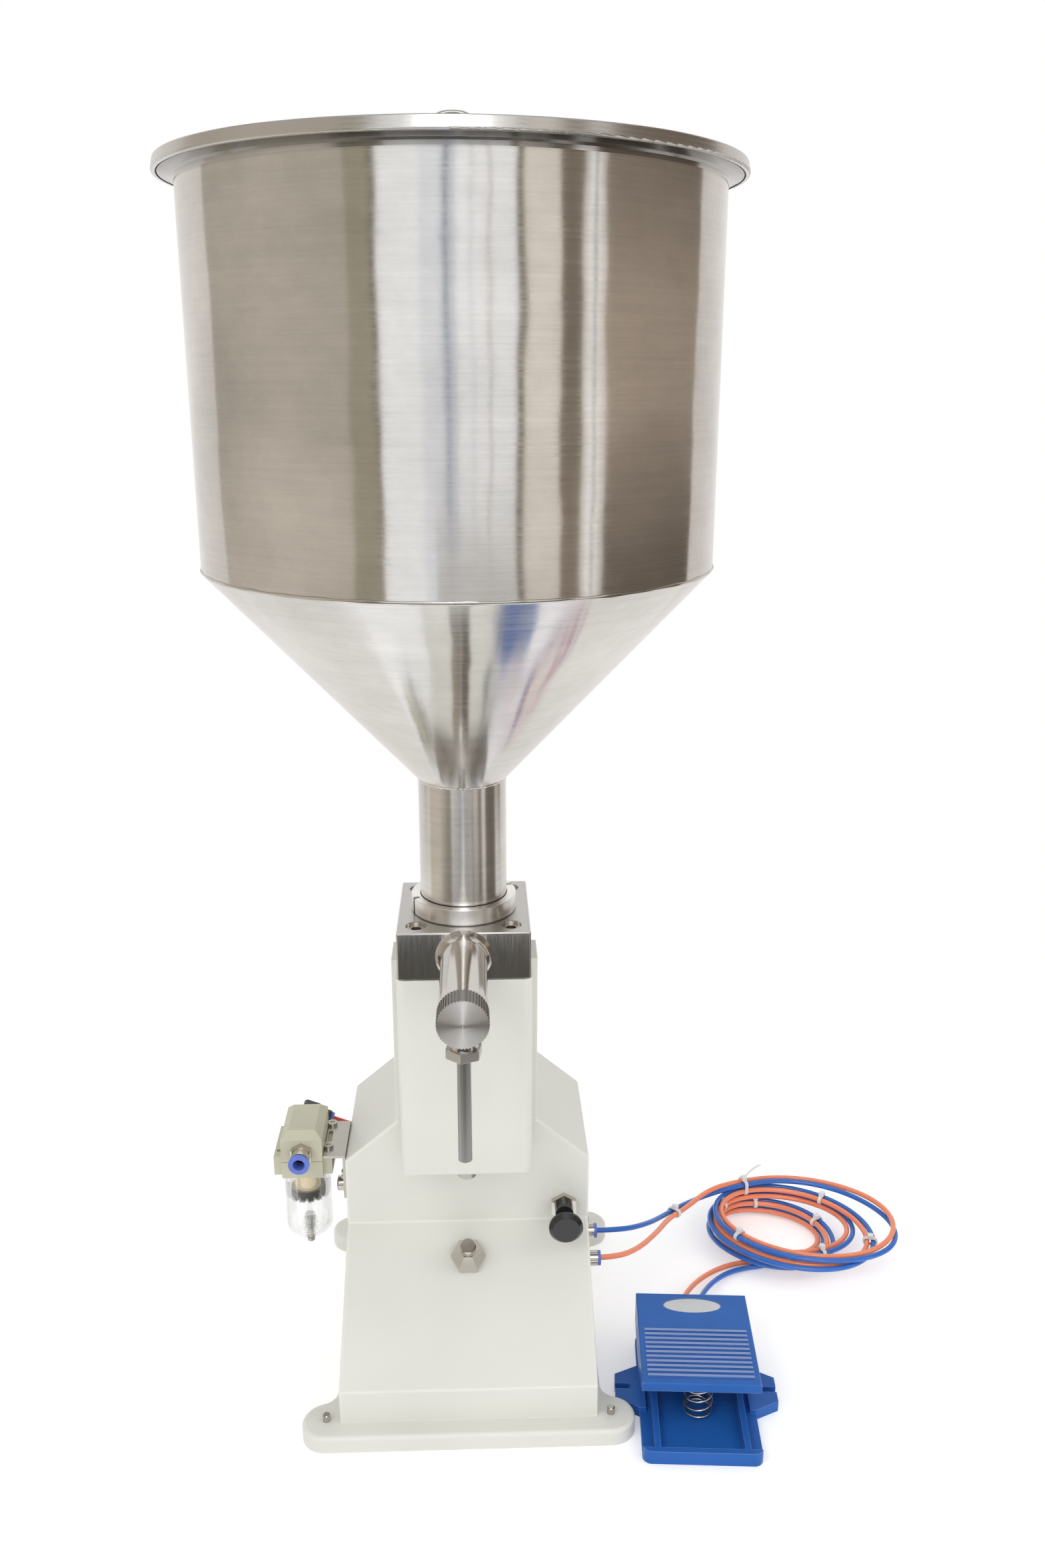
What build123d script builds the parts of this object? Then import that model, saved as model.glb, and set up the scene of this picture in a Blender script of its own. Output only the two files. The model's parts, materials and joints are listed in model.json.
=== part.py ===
from build123d import *
import math
import os

# Air driven filling machine with a hopper, a foot valve and two air hoses.
# Millimetres. X runs right, Y runs away from the front, Z runs up from the floor.
# The origin is the middle of the base plate's underside.

# Clearances
thread_gap = 0.05
running_gap = 0.05
seat_gap = 0.05
loose_gap = 0.3
over = 1.0

# Base plate
base_side_margin = 25.0
base_depth = 238.0
base_thickness = 12.0
ear_radius = 16.0
ear_blend_radius = 12.0
waist_margin = 4.0
base_edge_radius = 2.5

# Rubber pads let into the base plate, and their bolts
pad_diameter = 24.0
pad_thickness = 4.0
foot_bolt_diameter = 5.0
foot_bolt_tip = 5.0
foot_bolt_head_diameter = 9.0
foot_bolt_head_height = 2.5
foot_bolt_chamfer = 0.6

# Sheet housing
housing_width = 170.0
sheet = 2.0
console_margin = 13.0
skirt_height = 24.0
facet_setback = 13.5
console_rise = 63.5
facet_height = 49.5
shoulder_rise = 31.0
housing_top_depth = 103.5
fold_radius = 1.6

# Tower
tower_width = 97.0
tower_height = 121.0
frame_depth = 30.0
post_thickness = 8.5
flange_thickness = 6.0
top_plate_thickness = 10.0
cover_width = 88.0
cover_reach = 32.0
cover_drop = 23.2
cover_sheet = 1.5
cover_corner_radius = 6.0
cover_gap = 0.5
cover_screw_height = 5.0
cover_screw_spread = 25.0

# Valve block, screws and lock ring
block_width = 85.5
block_depth = 89.0
block_height = 32.5
block_edge = 0.8
block_screw_x = 30.5
block_screw_y = 32.0
block_screw_diameter = 8.0
block_screw_length = 30.0
block_screw_head_diameter = 13.0
block_screw_head_height = 8.0
counterbore_depth = 10.0
socket_across_flats = 6.0
lock_ring_diameter = 68.8
lock_ring_height = 11.0
lock_ring_gap = 0.4
lock_ring_edge = 0.4
lock_slot_width = 3.0
lock_slot_depth = 4.0
lock_slot_count = 2
lock_slot_angle = 200.0

# Hopper, lid and knob
neck_diameter = 56.6
neck_depth = 8.0
neck_height = 90.5
cone_height = 136.0
hopper_diameter = 308.0
hopper_wall = 1.5
hopper_body_height = 220.0
lip_diameter = 324.6
lip_drop = 5.4
lip_slope = 1.6
lip_cove = 3.0
lip_sheet = 1.2
lid_sheet = 1.2
lid_skirt = 6.8
lid_draft = 1.4
lid_hem = 2.6
lid_hem_height = 2.4
lid_lip_clearance = 0.9
lid_diameter = lip_diameter + 2 * (lid_hem + lid_lip_clearance)
lid_plug_clearance = 1.0
lid_plug_depth = 9.0
lid_rise = 6.0
lid_edge_radius = 0.9
lid_hem_radius = 1.1
lid_seat_diameter = 24.0
knob_diameter = 26.0
knob_waist_diameter = 13.0
knob_height = 23.0
knob_foot_diameter = 17.0
knob_foot_height = 4.6
knob_waist_top = 9.2
knob_shoulder_height = 13.8
knob_top_radius = 6.9
knob_stud_diameter = 6.0

# Outlet tube, cap and nozzle
outlet_diameter = 29.6
outlet_bore = 24.0
outlet_length = 77.5
outlet_flare = 3.4
outlet_flare_length = 9.0
passage_diameter = 12.0
cap_diameter = 30.8
cap_length = 15.0
cap_point = 1.8
cap_rim = 0.5
cap_tip_diameter = 3.0
cap_dimple_depth = 0.8
cap_thread_length = 6.0
cap_collar_diameter = 18.0
cap_collar_length = 12.0
cap_guide_diameter = 10.0
cap_guide_length = 12.0
cap_guide_bore_depth = 16.0
knurl_count = 48
knurl_width = 1.0
knurl_depth = 0.5
nozzle_setback = 12.0
nozzle_boss_diameter = 18.0
nozzle_boss_drop = 13.0
nozzle_thread_diameter = 13.0
nozzle_thread_length = 4.0
nozzle_nut_flats = 20.0
nozzle_nut_height = 6.6
nozzle_nut_turn = 21.0
nozzle_diameter = 8.5
nozzle_bore = 6.5
nozzle_length = 73.2
nozzle_flange_thickness = 1.0
nozzle_collar_diameter = 9.2
nozzle_groove_diameter = 7.9
nozzle_groove_length = 1.2
nozzle_passage = 8.0

# Product valves
chamber_diameter = 40.0
inlet_seat_thickness = 6.0
inlet_seat_bore = 26.0
inlet_head_diameter = 34.0
inlet_head_thickness = 4.0
valve_stem_diameter = 6.0
guide_bar_width = 9.0
guide_bar_height = 4.0
guide_engagement = 1.0
outlet_head_diameter = 18.0
outlet_head_thickness = 4.0
outlet_stem_engagement = 6.0
inlet_spring_diameter = 14.0
inlet_spring_wire = 1.2
inlet_spring_turns = 3
outlet_spring_diameter = 15.0
outlet_spring_wire = 1.4
outlet_spring_turns = 9

# Filling cylinder, air cylinder and rod
bore = 50.0
cylinder_wall = 3.0
filling_cylinder_length = 43.0
filling_flange_diameter = 64.0
filling_flange_thickness = 4.0
piston_top_gap = 4.0
filling_piston_thickness = 10.0
seal_width = 2.4
seal_depth = 2.0
seal_count = 2
rod_diameter = 14.0
rod_spigot_diameter = 10.0
rod_spigot_length = 6.0
full_stroke = 25.0
air_piston_thickness = 12.0
air_end_gap = 1.0
air_cap_diameter = 58.0
air_top_cap_thickness = 12.0
air_bottom_cap_thickness = 10.0
air_cap_lug_depth = 28.0
air_cap_lift = 2.0
arm_thickness = 6.0
arm_clearance = 2.0
arm_width = 14.0
arm_ring_diameter = 30.0

# Stroke screw and stop nut
screw_setback = 36.0
stroke_screw_diameter = 8.0
stroke_head_diameter = 13.0
stroke_head_height = 5.0
stroke_collar_height = 4.0
stroke_set = 20.0
stop_nut_width = 13.0
stop_nut_height = 8.0

# Reversing valve on the base plate
reversing_length = 60.0
reversing_width = 24.0
reversing_height = 32.0
reversing_end_diameter = 18.0
reversing_end_length = 12.0
reversing_x = -35.0
reversing_y = 50.0

# Push-pull valve in the facet
pull_valve_inset = 17.5
pull_valve_drop = 38.5
pull_barrel_diameter = 12.7
pull_barrel_length = 11.0
pull_body_width = 24.0
pull_body_length = 46.0
pull_nut_flats = 17.5
pull_nut_thickness = 4.0
pull_stem_diameter = 6.0
pull_stem_gap = 9.5
pull_stem_depth = 30.0
pull_head_diameter = 23.5
pull_head_thickness = 9.0
pull_neck_length = 3.8
pull_cup_diameter = 13.0
pull_rim_diameter = 20.0
pull_rim_height = 1.8
pull_edge_start = 4.5
pull_edge_end = 6.3
pull_face_diameter = 18.8

# Flow valve in the console slope
flow_valve_back = 21.5
flow_hex_flats = 21.0
flow_hex_height = 5.0
flow_cone_height = 9.5
flow_top_flats = 9.6
flow_barrel_diameter = 12.0
flow_barrel_depth = 24.0
flow_neck_diameter = 8.0
flow_neck_length = 1.6
flow_button_diameter = 11.0
flow_button_length = 7.4
flow_button_edge = 0.8
flow_stem_diameter = 6.0
flow_stem_depth = 28.0

# Plug in the left wall
plug_y = 18.0
plug_z = 111.0
plug_diameter = 11.0
plug_length = 9.5
plug_thread_diameter = 7.0
plug_edge_radius = 1.2

# Air filter on the left wall
filter_reach = 30.0
filter_y = 13.0
filter_head_width = 28.5
filter_head_front = 24.0
filter_head_back = 20.0
filter_head_bottom = 135.0
filter_head_height = 35.0
filter_head_chamfer = 5.0
filter_wing_width = 40.6
filter_wing_front = 19.5
filter_wing_height = 14.5
filter_port_height = 20.0
filter_seam_height = 12.5
filter_seam = 0.6
bowl_diameter = 33.0
bowl_wall = 2.2
bowl_bottom = 77.0
bowl_engagement = 6.0
bowl_corner_radius = 8.0
element_diameter = 18.0
element_bore = 9.0
element_length = 18.0
element_boss_diameter = 16.0
element_boss_drop = 9.0
baffle_diameter = 24.5
baffle_thickness = 7.0
baffle_teeth = 12
baffle_tooth_width = 2.4
baffle_tooth_depth = 2.0
baffle_tooth_height = 3.0
element_screw_diameter = 4.0
element_screw_head_diameter = 8.0
element_screw_head_height = 3.0
drain_stem_diameter = 4.6
drain_stem_drop = 7.0
drain_tip_diameter = 5.4
drain_tip_height = 2.5
drain_flange_diameter = 7.0
drain_flange_height = 2.5
drain_neck_height = 3.0
drain_button_diameter = 8.0
drain_button_height = 4.5
bracket_sheet = 2.0
bracket_drop = 32.0
bracket_front = 23.0
bracket_back = 22.0
bracket_overlap = 5.5
bracket_screw_inset = 3.0
bracket_screw_front = 11.5
bracket_screw_back = 17.5
bracket_wall_screw_drop = 20.0
pan_head_diameter = 7.0
pan_head_height = 2.2
pan_shank_diameter = 3.0
pan_shank_length = 8.0
cross_length = 3.6
cross_width = 0.9
cross_depth = 1.1

# Push-in fittings
inlet_hex_flats = 14.0
inlet_hex_length = 5.0
inlet_body_diameter = 13.5
inlet_body_length = 6.5
inlet_thread_diameter = 10.0
inlet_thread_length = 8.0
inlet_tube_diameter = 8.0
inlet_tube_depth = 15.0
inlet_collet_diameter = 14.5
inlet_collet_flange = 2.0
inlet_collet_gap = 1.6
inlet_collet_sleeve = 10.6
inlet_collet_depth = 6.0
tube_entry_gap = 0.1
elbow_diameter = 12.0
elbow_block = 13.0
elbow_stub = 9.0
elbow_reach = 15.0
elbow_tilt = 22.0
supply_tube_diameter = 6.0
supply_tube_inside = 8.0
collet_flange = 2.2
collet_diameter = 10.5
fitting_diameter = 11.0
fitting_length = 8.0
fitting_thread_diameter = 9.0
fitting_thread_length = 7.0
bulkhead_height = 60.0
blue_bulkhead_y = 26.0
orange_bulkhead_y = -6.0

# Foot valve
pedal_gap = 44.5
pedal_setback = 38.0
pedal_turn = -4.0
pedal_width = 78.0
pedal_length = 113.0
pedal_corner_radius = 6.0
tray_thickness = 5.0
tray_wall = 4.0
tray_wall_height = 10.0
tray_rib_x = 29.0
ear_span = 110.0
ear_root = 39.0
ear_tip = 22.0
ear_thickness = 8.0
ear_offset = 3.0
ear_slot_width = 5.0
ear_slot_depth = 11.0
hinge_setback = 11.5
hinge_height = 24.0
hinge_lug_width = 14.0
hinge_lug_radius = 6.0
hinge_pin_diameter = 5.0
treadle_length = 88.5
treadle_top = 42.0
treadle_sheet = 4.0
treadle_skirt = 2.5
treadle_skirt_bottom = 17.0
treadle_lip = 6.5
treadle_cut_length = 29.0
treadle_rib_count = 11
treadle_rib_pitch = 4.3
treadle_rib_width = 2.0
treadle_rib_height = 0.8
treadle_rib_margin = 4.0
treadle_rib_front = 6.0
label_length = 41.0
label_depth = 15.0
label_recess = 0.5
label_setback = 12.5
pedal_spring_y = -14.5
pedal_spring_diameter = 19.5
pedal_spring_wire = 1.6
pedal_spring_turns = 6
pedal_spring_gap = 0.2
pedal_valve_width = 34.0
pedal_valve_front = 8.0
pedal_valve_length = 44.0
pedal_valve_height = 20.0
pedal_port_spread = 13.0
pedal_port_height = 16.0
pedal_fitting_diameter = 9.5
stem_y = 15.0
stem_diameter = 6.0
stem_depth = 10.0
stem_gap = 0.6

# Hoses
hose_diameter = 4.0
hose_pair_pitch = 5.0
hose_start_run = 30.0
hose_end_run = 24.0
hose_tie_run = 12.0
coil_tie_x = 221.0
coil_tie_y = 126.0
coil_floor = 2.3
coil_layer = 5.7
coil_flatness = 0.72
coil_lean = -18.0
coil_turns = 4
coil_tie_angle = 137.0
coil_last_angle = 182.0
coil_first_radius = 71.0
coil_last_radius = 42.0
coil_first_fan = -34.0
coil_last_fan = -50.0
coil_sway = 4.0
coil_swell = 3.0
coil_far_drop = 0.08
coil_run = 30.0
corner_share = 0.45
lead_tie = (162.0, 77.0, 38.0)
lead_tie_heading = (0.66, 0.73, -0.16)
blue_lead_middle = (136.0, 46.0, 50.0)
orange_lead_middle = (139.0, 20.0, 50.0)
blue_tail_points = [(206.0, 51.0, 3.0), (183.0, 30.0, 7.0)]
orange_tail_points = [(203.0, 58.0, 3.0), (173.0, 34.0, 7.0)]
coil_end_run = 25.0

# Cable ties: each entry counts quarter turns along the coil from the knot
tie_width = 3.5
tie_thickness = 1.2
tie_gap = 0.25
tie_head = 5.0
coil_tie_quarters = [1, 2, 10, 13]
knot_width = 14.0
knot_band = 7.0

# Levels and faces that follow from the sizes
base_top = base_thickness
base_half_depth = base_depth / 2
base_width = housing_width + 2 * base_side_margin
ear_x = base_width / 2 - ear_radius
ear_y = base_half_depth - ear_radius
housing_half = housing_width / 2
console_front = -base_half_depth + console_margin
facet_y = -facet_setback
console_run = facet_y - console_front
housing_back = facet_y + housing_top_depth
skirt_top = base_top + skirt_height
slope_top = skirt_top + console_rise
shoulder_bottom = slope_top + facet_height
housing_top = shoulder_bottom + shoulder_rise
tower_half = tower_width / 2
frame_back = facet_y + frame_depth
block_bottom = housing_top + tower_height
block_top = block_bottom + block_height
block_front = -block_depth / 2
cover_half = cover_width / 2
cover_front = facet_y - cover_reach
cover_back = -cover_front
cover_bottom = housing_top - cover_drop
post_inner = tower_half - post_thickness
top_plate_half = cover_half - cover_sheet - cover_gap
top_plate_depth = cover_back - cover_sheet - cover_gap
neck_bottom = block_top - neck_depth
neck_top = block_top + neck_height
cone_top = neck_top + cone_height
hopper_top = cone_top + hopper_body_height
lid_top = hopper_top + lid_sheet
knob_seat = lid_top + lid_rise
seat_bottom = neck_bottom - inlet_seat_thickness
outlet_z = block_bottom + block_height / 2
outlet_end = block_front - outlet_length
nozzle_y = outlet_end + nozzle_setback
nozzle_boss_bottom = outlet_z - outlet_diameter / 2 - nozzle_boss_drop
nozzle_thread_bottom = nozzle_boss_bottom - nozzle_thread_length
nozzle_bottom = nozzle_thread_bottom - nozzle_length
cylinder_outer = bore + 2 * cylinder_wall
filling_bottom = block_bottom - filling_cylinder_length
filling_piston_top = block_bottom - piston_top_gap
filling_piston_bottom = filling_piston_top - filling_piston_thickness
arm_top = filling_bottom - arm_clearance
arm_bottom = arm_top - arm_thickness
air_top = arm_bottom - full_stroke - air_cap_lift
air_chamber_top = air_top - air_top_cap_thickness
air_chamber_bottom = air_chamber_top - full_stroke - air_piston_thickness - 2 * air_end_gap
air_bottom = air_chamber_bottom - air_bottom_cap_thickness
air_piston_top = air_chamber_top - air_end_gap
air_piston_bottom = air_piston_top - air_piston_thickness
stop_nut_top = arm_bottom - stroke_set - loose_gap
pull_valve_x = housing_half - pull_valve_inset
pull_valve_z = shoulder_bottom - pull_valve_drop
filter_x = -housing_half - filter_reach
filter_head_top = filter_head_bottom + filter_head_height
filter_front = filter_y - filter_head_front
filter_back = filter_y + filter_head_back
wing_top = filter_head_bottom + filter_wing_height
filter_port_z = filter_head_bottom + filter_port_height
bowl_top = filter_head_bottom + bowl_engagement
element_top = bowl_top - element_boss_drop
element_bottom = element_top - element_length
baffle_bottom = element_bottom - baffle_thickness
elbow_y = filter_back + elbow_stub
hinge_y = pedal_length / 2 - hinge_setback
treadle_under = treadle_top - treadle_sheet
treadle_front = pedal_length / 2 - treadle_length
pedal_valve_back = pedal_valve_front + pedal_valve_length
pedal_valve_top = tray_thickness + pedal_valve_height
pedal_x = base_width / 2 + pedal_gap
pedal_y = pedal_setback - base_half_depth
pedal_place = Pos(pedal_x, pedal_y, 0) * Rot(0, 0, pedal_turn)
slope_angle = math.atan2(console_rise, console_run)
slope_normal = (0, -math.sin(slope_angle), math.cos(slope_angle))
flow_y = facet_y - flow_valve_back
flow_z = slope_top - flow_valve_back * console_rise / console_run
slope_plane = Plane(origin=(0, flow_y, flow_z), x_dir=(1, 0, 0), z_dir=slope_normal)


# Shapes used again and again

def block(x0, x1, y0, y1, z0, z1):
    middle = Pos((x0 + x1) / 2, (y0 + y1) / 2, (z0 + z1) / 2)
    return middle * Box(abs(x1 - x0), abs(y1 - y0), abs(z1 - z0))


def upright(x, y, z0, z1, diameter):
    return Pos(x, y, (z0 + z1) / 2) * Cylinder(diameter / 2, abs(z1 - z0))


def along_y(x, z, y0, y1, diameter):
    return Pos(x, (y0 + y1) / 2, z) * Rot(90, 0, 0) * Cylinder(diameter / 2, abs(y1 - y0))


def along_x(y, z, x0, x1, diameter):
    return Pos((x0 + x1) / 2, y, z) * Rot(0, 90, 0) * Cylinder(diameter / 2, abs(x1 - x0))


def upright_tube(x, y, z0, z1, outer, inner):
    return upright(x, y, z0, z1, outer) - upright(x, y, z0 - over, z1 + over, inner)


def hexagon(flats):
    return RegularPolygon(flats / 2, 6, major_radius=False)


def turned(points):
    profile = Plane.XZ * make_face(Polyline(*points, close=True))
    return revolve(profile, Axis.Z)


def on_circle(edge, radius, level):
    """True for a level circle about the hopper's axis with this radius."""
    if edge.geom_type != GeomType.CIRCLE:
        return False
    return abs(edge.radius - radius) < thread_gap and abs(edge.center().Z - level) < thread_gap


def group(solids):
    return Compound(children=list(solids))


def save(name, shape):
    export_step(shape, "parts/" + name + ".step")


# Base

def base_quarter(side, end):
    """Edges of one quarter of the base plate's outline, from the end's middle to the waist's middle."""
    waist = housing_half + waist_margin
    blend_x = waist + ear_blend_radius
    reach = ear_radius + ear_blend_radius
    blend_y = ear_y - math.sqrt(reach ** 2 - (blend_x - ear_x) ** 2)
    turn = math.atan2(blend_y - ear_y, blend_x - ear_x)
    ear_middle = (math.pi / 2 + turn) / 2
    blend_start = turn + math.pi
    blend_middle = (blend_start + math.pi) / 2

    def on_ear(angle):
        return (side * (ear_x + ear_radius * math.cos(angle)), end * (ear_y + ear_radius * math.sin(angle)))

    def on_blend(angle):
        across = blend_x + ear_blend_radius * math.cos(angle)
        return (side * across, end * (blend_y + ear_blend_radius * math.sin(angle)))

    return [
        Line((0, end * base_half_depth), (side * ear_x, end * base_half_depth)),
        ThreePointArc(on_ear(math.pi / 2), on_ear(ear_middle), on_ear(turn)),
        ThreePointArc(on_blend(blend_start), on_blend(blend_middle), on_blend(math.pi)),
        Line((side * waist, end * blend_y), (side * waist, 0)),
    ]


def ear_places():
    return [(side * ear_x, end * ear_y) for side in (-1, 1) for end in (-1, 1)]


def make_base_plate():
    edges = []
    for side in (-1, 1):
        for end in (-1, 1):
            edges += base_quarter(side, end)
    plate = extrude(make_face(edges), base_thickness)
    plate = fillet(plate.edges().group_by(Axis.Z)[-1], base_edge_radius)
    for x, y in ear_places():
        plate -= upright(x, y, -over, pad_thickness, pad_diameter + 2 * thread_gap)
        plate -= upright(x, y, 0, base_top + over, foot_bolt_diameter + 2 * thread_gap)
    return plate


def make_rubber_feet():
    head_bottom = pad_thickness - foot_bolt_head_height
    pads = []
    for x, y in ear_places():
        pad = upright(x, y, 0, pad_thickness, pad_diameter)
        head_room = upright(x, y, head_bottom, pad_thickness + over, foot_bolt_head_diameter + 2 * thread_gap)
        pads.append(pad - head_room)
    return group(pads)


def make_foot_bolts():
    head_bottom = pad_thickness - foot_bolt_head_height
    bolts = []
    for x, y in ear_places():
        shank = upright(x, y, pad_thickness, base_top + foot_bolt_tip, foot_bolt_diameter)
        tip = shank.edges().group_by(Axis.Z)[-1]
        shank = chamfer(tip, foot_bolt_chamfer)
        bolts.append(shank + upright(x, y, head_bottom, pad_thickness, foot_bolt_head_diameter))
    return group(bolts)


# Housing

def housing_form(floor):
    side = Polygon(
        (console_front, floor),
        (console_front, skirt_top),
        (facet_y, slope_top),
        (facet_y, housing_top),
        (housing_back, housing_top),
        (housing_back, floor),
        align=None,
    )
    front = Polygon(
        (-housing_half, floor),
        (-housing_half, shoulder_bottom),
        (-tower_half, housing_top),
        (tower_half, housing_top),
        (housing_half, shoulder_bottom),
        (housing_half, floor),
        align=None,
    )
    return side, front


def housing_solid(side, front):
    along = extrude(Plane.YZ * side, housing_width, both=True)
    return along & extrude(Plane.XZ * front, base_depth, both=True)


def make_main_housing():
    side, front = housing_form(base_top)
    outside = housing_solid(side, front)
    folds = outside.edges().filter_by(lambda edge: edge.center().Z > base_top + over)
    outside = fillet(folds, fold_radius)
    deep_side, deep_front = housing_form(base_top - 2 * sheet)
    inner_side = offset(deep_side, -sheet, kind=Kind.INTERSECTION)
    inner_front = offset(deep_front, -sheet, kind=Kind.INTERSECTION)
    shell = outside - housing_solid(inner_side, inner_front)
    return shell - housing_holes()


def housing_holes():
    """Every opening cut in the sheet housing."""
    wall = 2 * sheet
    holes = upright(0, 0, air_bottom - over, housing_top + over, air_cap_diameter + 2 * over)
    hole_diameter = pull_barrel_diameter + 2 * thread_gap
    holes += along_y(pull_valve_x, pull_valve_z, facet_y - wall, facet_y + wall, hole_diameter)
    holes += slope_plane * Cylinder(flow_barrel_diameter / 2 + thread_gap, 4 * sheet)
    hole_diameter = plug_thread_diameter + 2 * thread_gap
    holes += along_x(plug_y, plug_z, -housing_half - wall, -housing_half + wall, hole_diameter)
    for y in (blue_bulkhead_y, orange_bulkhead_y):
        hole_diameter = fitting_thread_diameter + 2 * thread_gap
        holes += along_x(y, bulkhead_height, housing_half - wall, housing_half + wall, hole_diameter)
    tube_start, tube_end = supply_tube_ends()
    hole_diameter = supply_tube_diameter + 2 * loose_gap
    holes += tilted(along_x(elbow_y, filter_port_z, tube_start, tube_end + over, hole_diameter))
    for y, z in bracket_wall_places():
        hole_diameter = pan_shank_diameter + 2 * thread_gap
        holes += along_x(y, z, -housing_half - over, -housing_half + wall, hole_diameter)
    return holes


# Tower

def make_tower_frame():
    frame = block(-top_plate_half, top_plate_half, -top_plate_depth, top_plate_depth,
                  block_bottom - top_plate_thickness, block_bottom)
    frame = fillet(frame.edges().filter_by(Axis.Z), cover_corner_radius)
    frame += block(-tower_half, tower_half, facet_y, frame_back, housing_top, housing_top + flange_thickness)
    for side in (-1, 1):
        frame += block(side * post_inner, side * tower_half, facet_y, frame_back, housing_top, block_bottom)
    cylinder_room = air_cap_diameter + 2 * over
    frame -= upright(0, 0, housing_top - over, housing_top + flange_thickness + over, cylinder_room)
    frame -= upright(0, 0, filling_bottom, block_bottom + over, cylinder_outer + 2 * thread_gap)
    flange_room = filling_flange_diameter + 2 * thread_gap
    frame -= upright(0, 0, block_bottom - filling_flange_thickness, block_bottom + over, flange_room)
    screw_end = block_top - counterbore_depth - block_screw_length
    for x, y in block_screw_places():
        frame -= upright(x, y, screw_end, block_bottom + over, block_screw_diameter + 2 * thread_gap)
    screw_room = stroke_screw_diameter + 2 * running_gap
    frame -= upright(0, -screw_setback, filling_bottom, block_bottom - 2 * over, screw_room)
    for x, y, z, heading in cover_screw_places():
        frame -= pan_screw(x, y, z, heading, thread_gap)
    return frame


def make_front_cover():
    cover = block(-cover_half, cover_half, cover_front, facet_y, cover_bottom, block_bottom)
    corners = cover.edges().filter_by(Axis.Z).group_by(Axis.Y)[0]
    cover = fillet(corners, cover_corner_radius)
    rim = cover.faces().sort_by(Axis.Z)[0].edges().filter_by(lambda edge: edge.center().Y < facet_y - over)
    cover = fillet(rim, cover_corner_radius / 2)
    room = block(-cover_half + cover_sheet, cover_half - cover_sheet, cover_front + cover_sheet,
                 facet_y + over, cover_bottom + cover_sheet, block_bottom + over)
    room_corners = room.edges().filter_by(Axis.Z).group_by(Axis.Y)[0]
    cover -= fillet(room_corners, cover_corner_radius - cover_sheet)
    screw_room = stroke_screw_diameter + 2 * running_gap
    cover -= upright(0, -screw_setback, cover_bottom - over, cover_bottom + 2 * cover_sheet, screw_room)
    return cover


def make_rear_cover():
    cover = block(-cover_half, cover_half, frame_back, cover_back, housing_top, block_bottom)
    corners = cover.edges().filter_by(Axis.Z).group_by(Axis.Y)[-1]
    cover = fillet(corners, cover_corner_radius)
    room = block(-cover_half + cover_sheet, cover_half - cover_sheet, frame_back - over,
                 cover_back - cover_sheet, housing_top - over, block_bottom + over)
    room_corners = room.edges().filter_by(Axis.Z).group_by(Axis.Y)[-1]
    cover -= fillet(room_corners, cover_corner_radius - cover_sheet)
    for x, y, z, heading in cover_screw_places():
        cover -= pan_screw(x, y, z, heading, thread_gap)
    return cover


# Small pan head screws

def pan_screw(x, y, z, heading, grow):
    """A screw whose head sits on the point and whose shank runs along the heading."""
    place = Plane(origin=(x, y, z), z_dir=heading)
    shank_length = pan_shank_length + grow
    shank = Pos(0, 0, shank_length / 2) * Cylinder(pan_shank_diameter / 2 + grow, shank_length)
    head = Pos(0, 0, -pan_head_height / 2) * Cylinder(pan_head_diameter / 2 + grow, pan_head_height)
    return place * (shank + head)


def cover_screw_places():
    z = block_bottom - cover_screw_height
    places = []
    for side in (-1, 1):
        places.append((side * cover_screw_spread, cover_back, z, (0, -1, 0)))
    return places


def bracket_wall_places():
    z = wing_top - bracket_wall_screw_drop
    return [(filter_y - bracket_screw_front, z), (filter_y + bracket_screw_back, z)]


def bracket_head_places():
    x = filter_x + filter_wing_width / 2 - bracket_screw_inset
    return [(x, filter_y - bracket_screw_front), (x, filter_y + bracket_screw_back)]


def bracket_screws(grow):
    screws = []
    for x, y in bracket_head_places():
        screws.append(pan_screw(x, y, wing_top + bracket_sheet, (0, 0, -1), grow))
    for y, z in bracket_wall_places():
        screws.append(pan_screw(-housing_half - bracket_sheet, y, z, (1, 0, 0), grow))
    return screws


def cross_slot(screw, x, y, z):
    """Cross cut in the top of an upright pan head."""
    long = cross_length / 2
    short = cross_width / 2
    screw -= block(x - long, x + long, y - short, y + short, z - cross_depth, z + over)
    return screw - block(x - short, x + short, y - long, y + long, z - cross_depth, z + over)


def make_small_screws():
    screws = bracket_screws(0)
    head_top = wing_top + bracket_sheet + pan_head_height
    for number, place in enumerate(bracket_head_places()):
        screws[number] = cross_slot(screws[number], place[0], place[1], head_top)
    for x, y, z, heading in cover_screw_places():
        screws.append(pan_screw(x, y, z, heading, 0))
    screw_head_bottom = baffle_bottom - element_screw_head_height
    element_screw = upright(filter_x, filter_y, screw_head_bottom, baffle_bottom, element_screw_head_diameter)
    screw_end = element_top + bowl_engagement
    element_screw += upright(filter_x, filter_y, baffle_bottom, screw_end, element_screw_diameter)
    screws.append(element_screw)
    return group(screws)


# Valve block and outlet

def block_screw_places():
    return [(sx * block_screw_x, sy * block_screw_y) for sx in (-1, 1) for sy in (-1, 1)]


def make_valve_block():
    body = block(-block_width / 2, block_width / 2, block_front, -block_front, block_bottom, block_top)
    body = chamfer(body.edges(), block_edge)
    body -= along_y(0, outlet_z, block_front - over, over - chamber_diameter / 2, passage_diameter)
    body -= upright(0, 0, block_bottom - over, seat_bottom, chamber_diameter)
    body -= upright(0, 0, seat_bottom - over, neck_bottom + over, inlet_seat_bore)
    body -= upright(0, 0, neck_bottom, block_top + over, neck_diameter + 2 * thread_gap)
    head_room = block_screw_head_diameter + loose_gap
    for x, y in block_screw_places():
        body -= upright(x, y, block_top - counterbore_depth, block_top + over, head_room)
        body -= upright(x, y, block_bottom - over, block_top, block_screw_diameter + 2 * thread_gap)
    return body + valve_guide()


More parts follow.
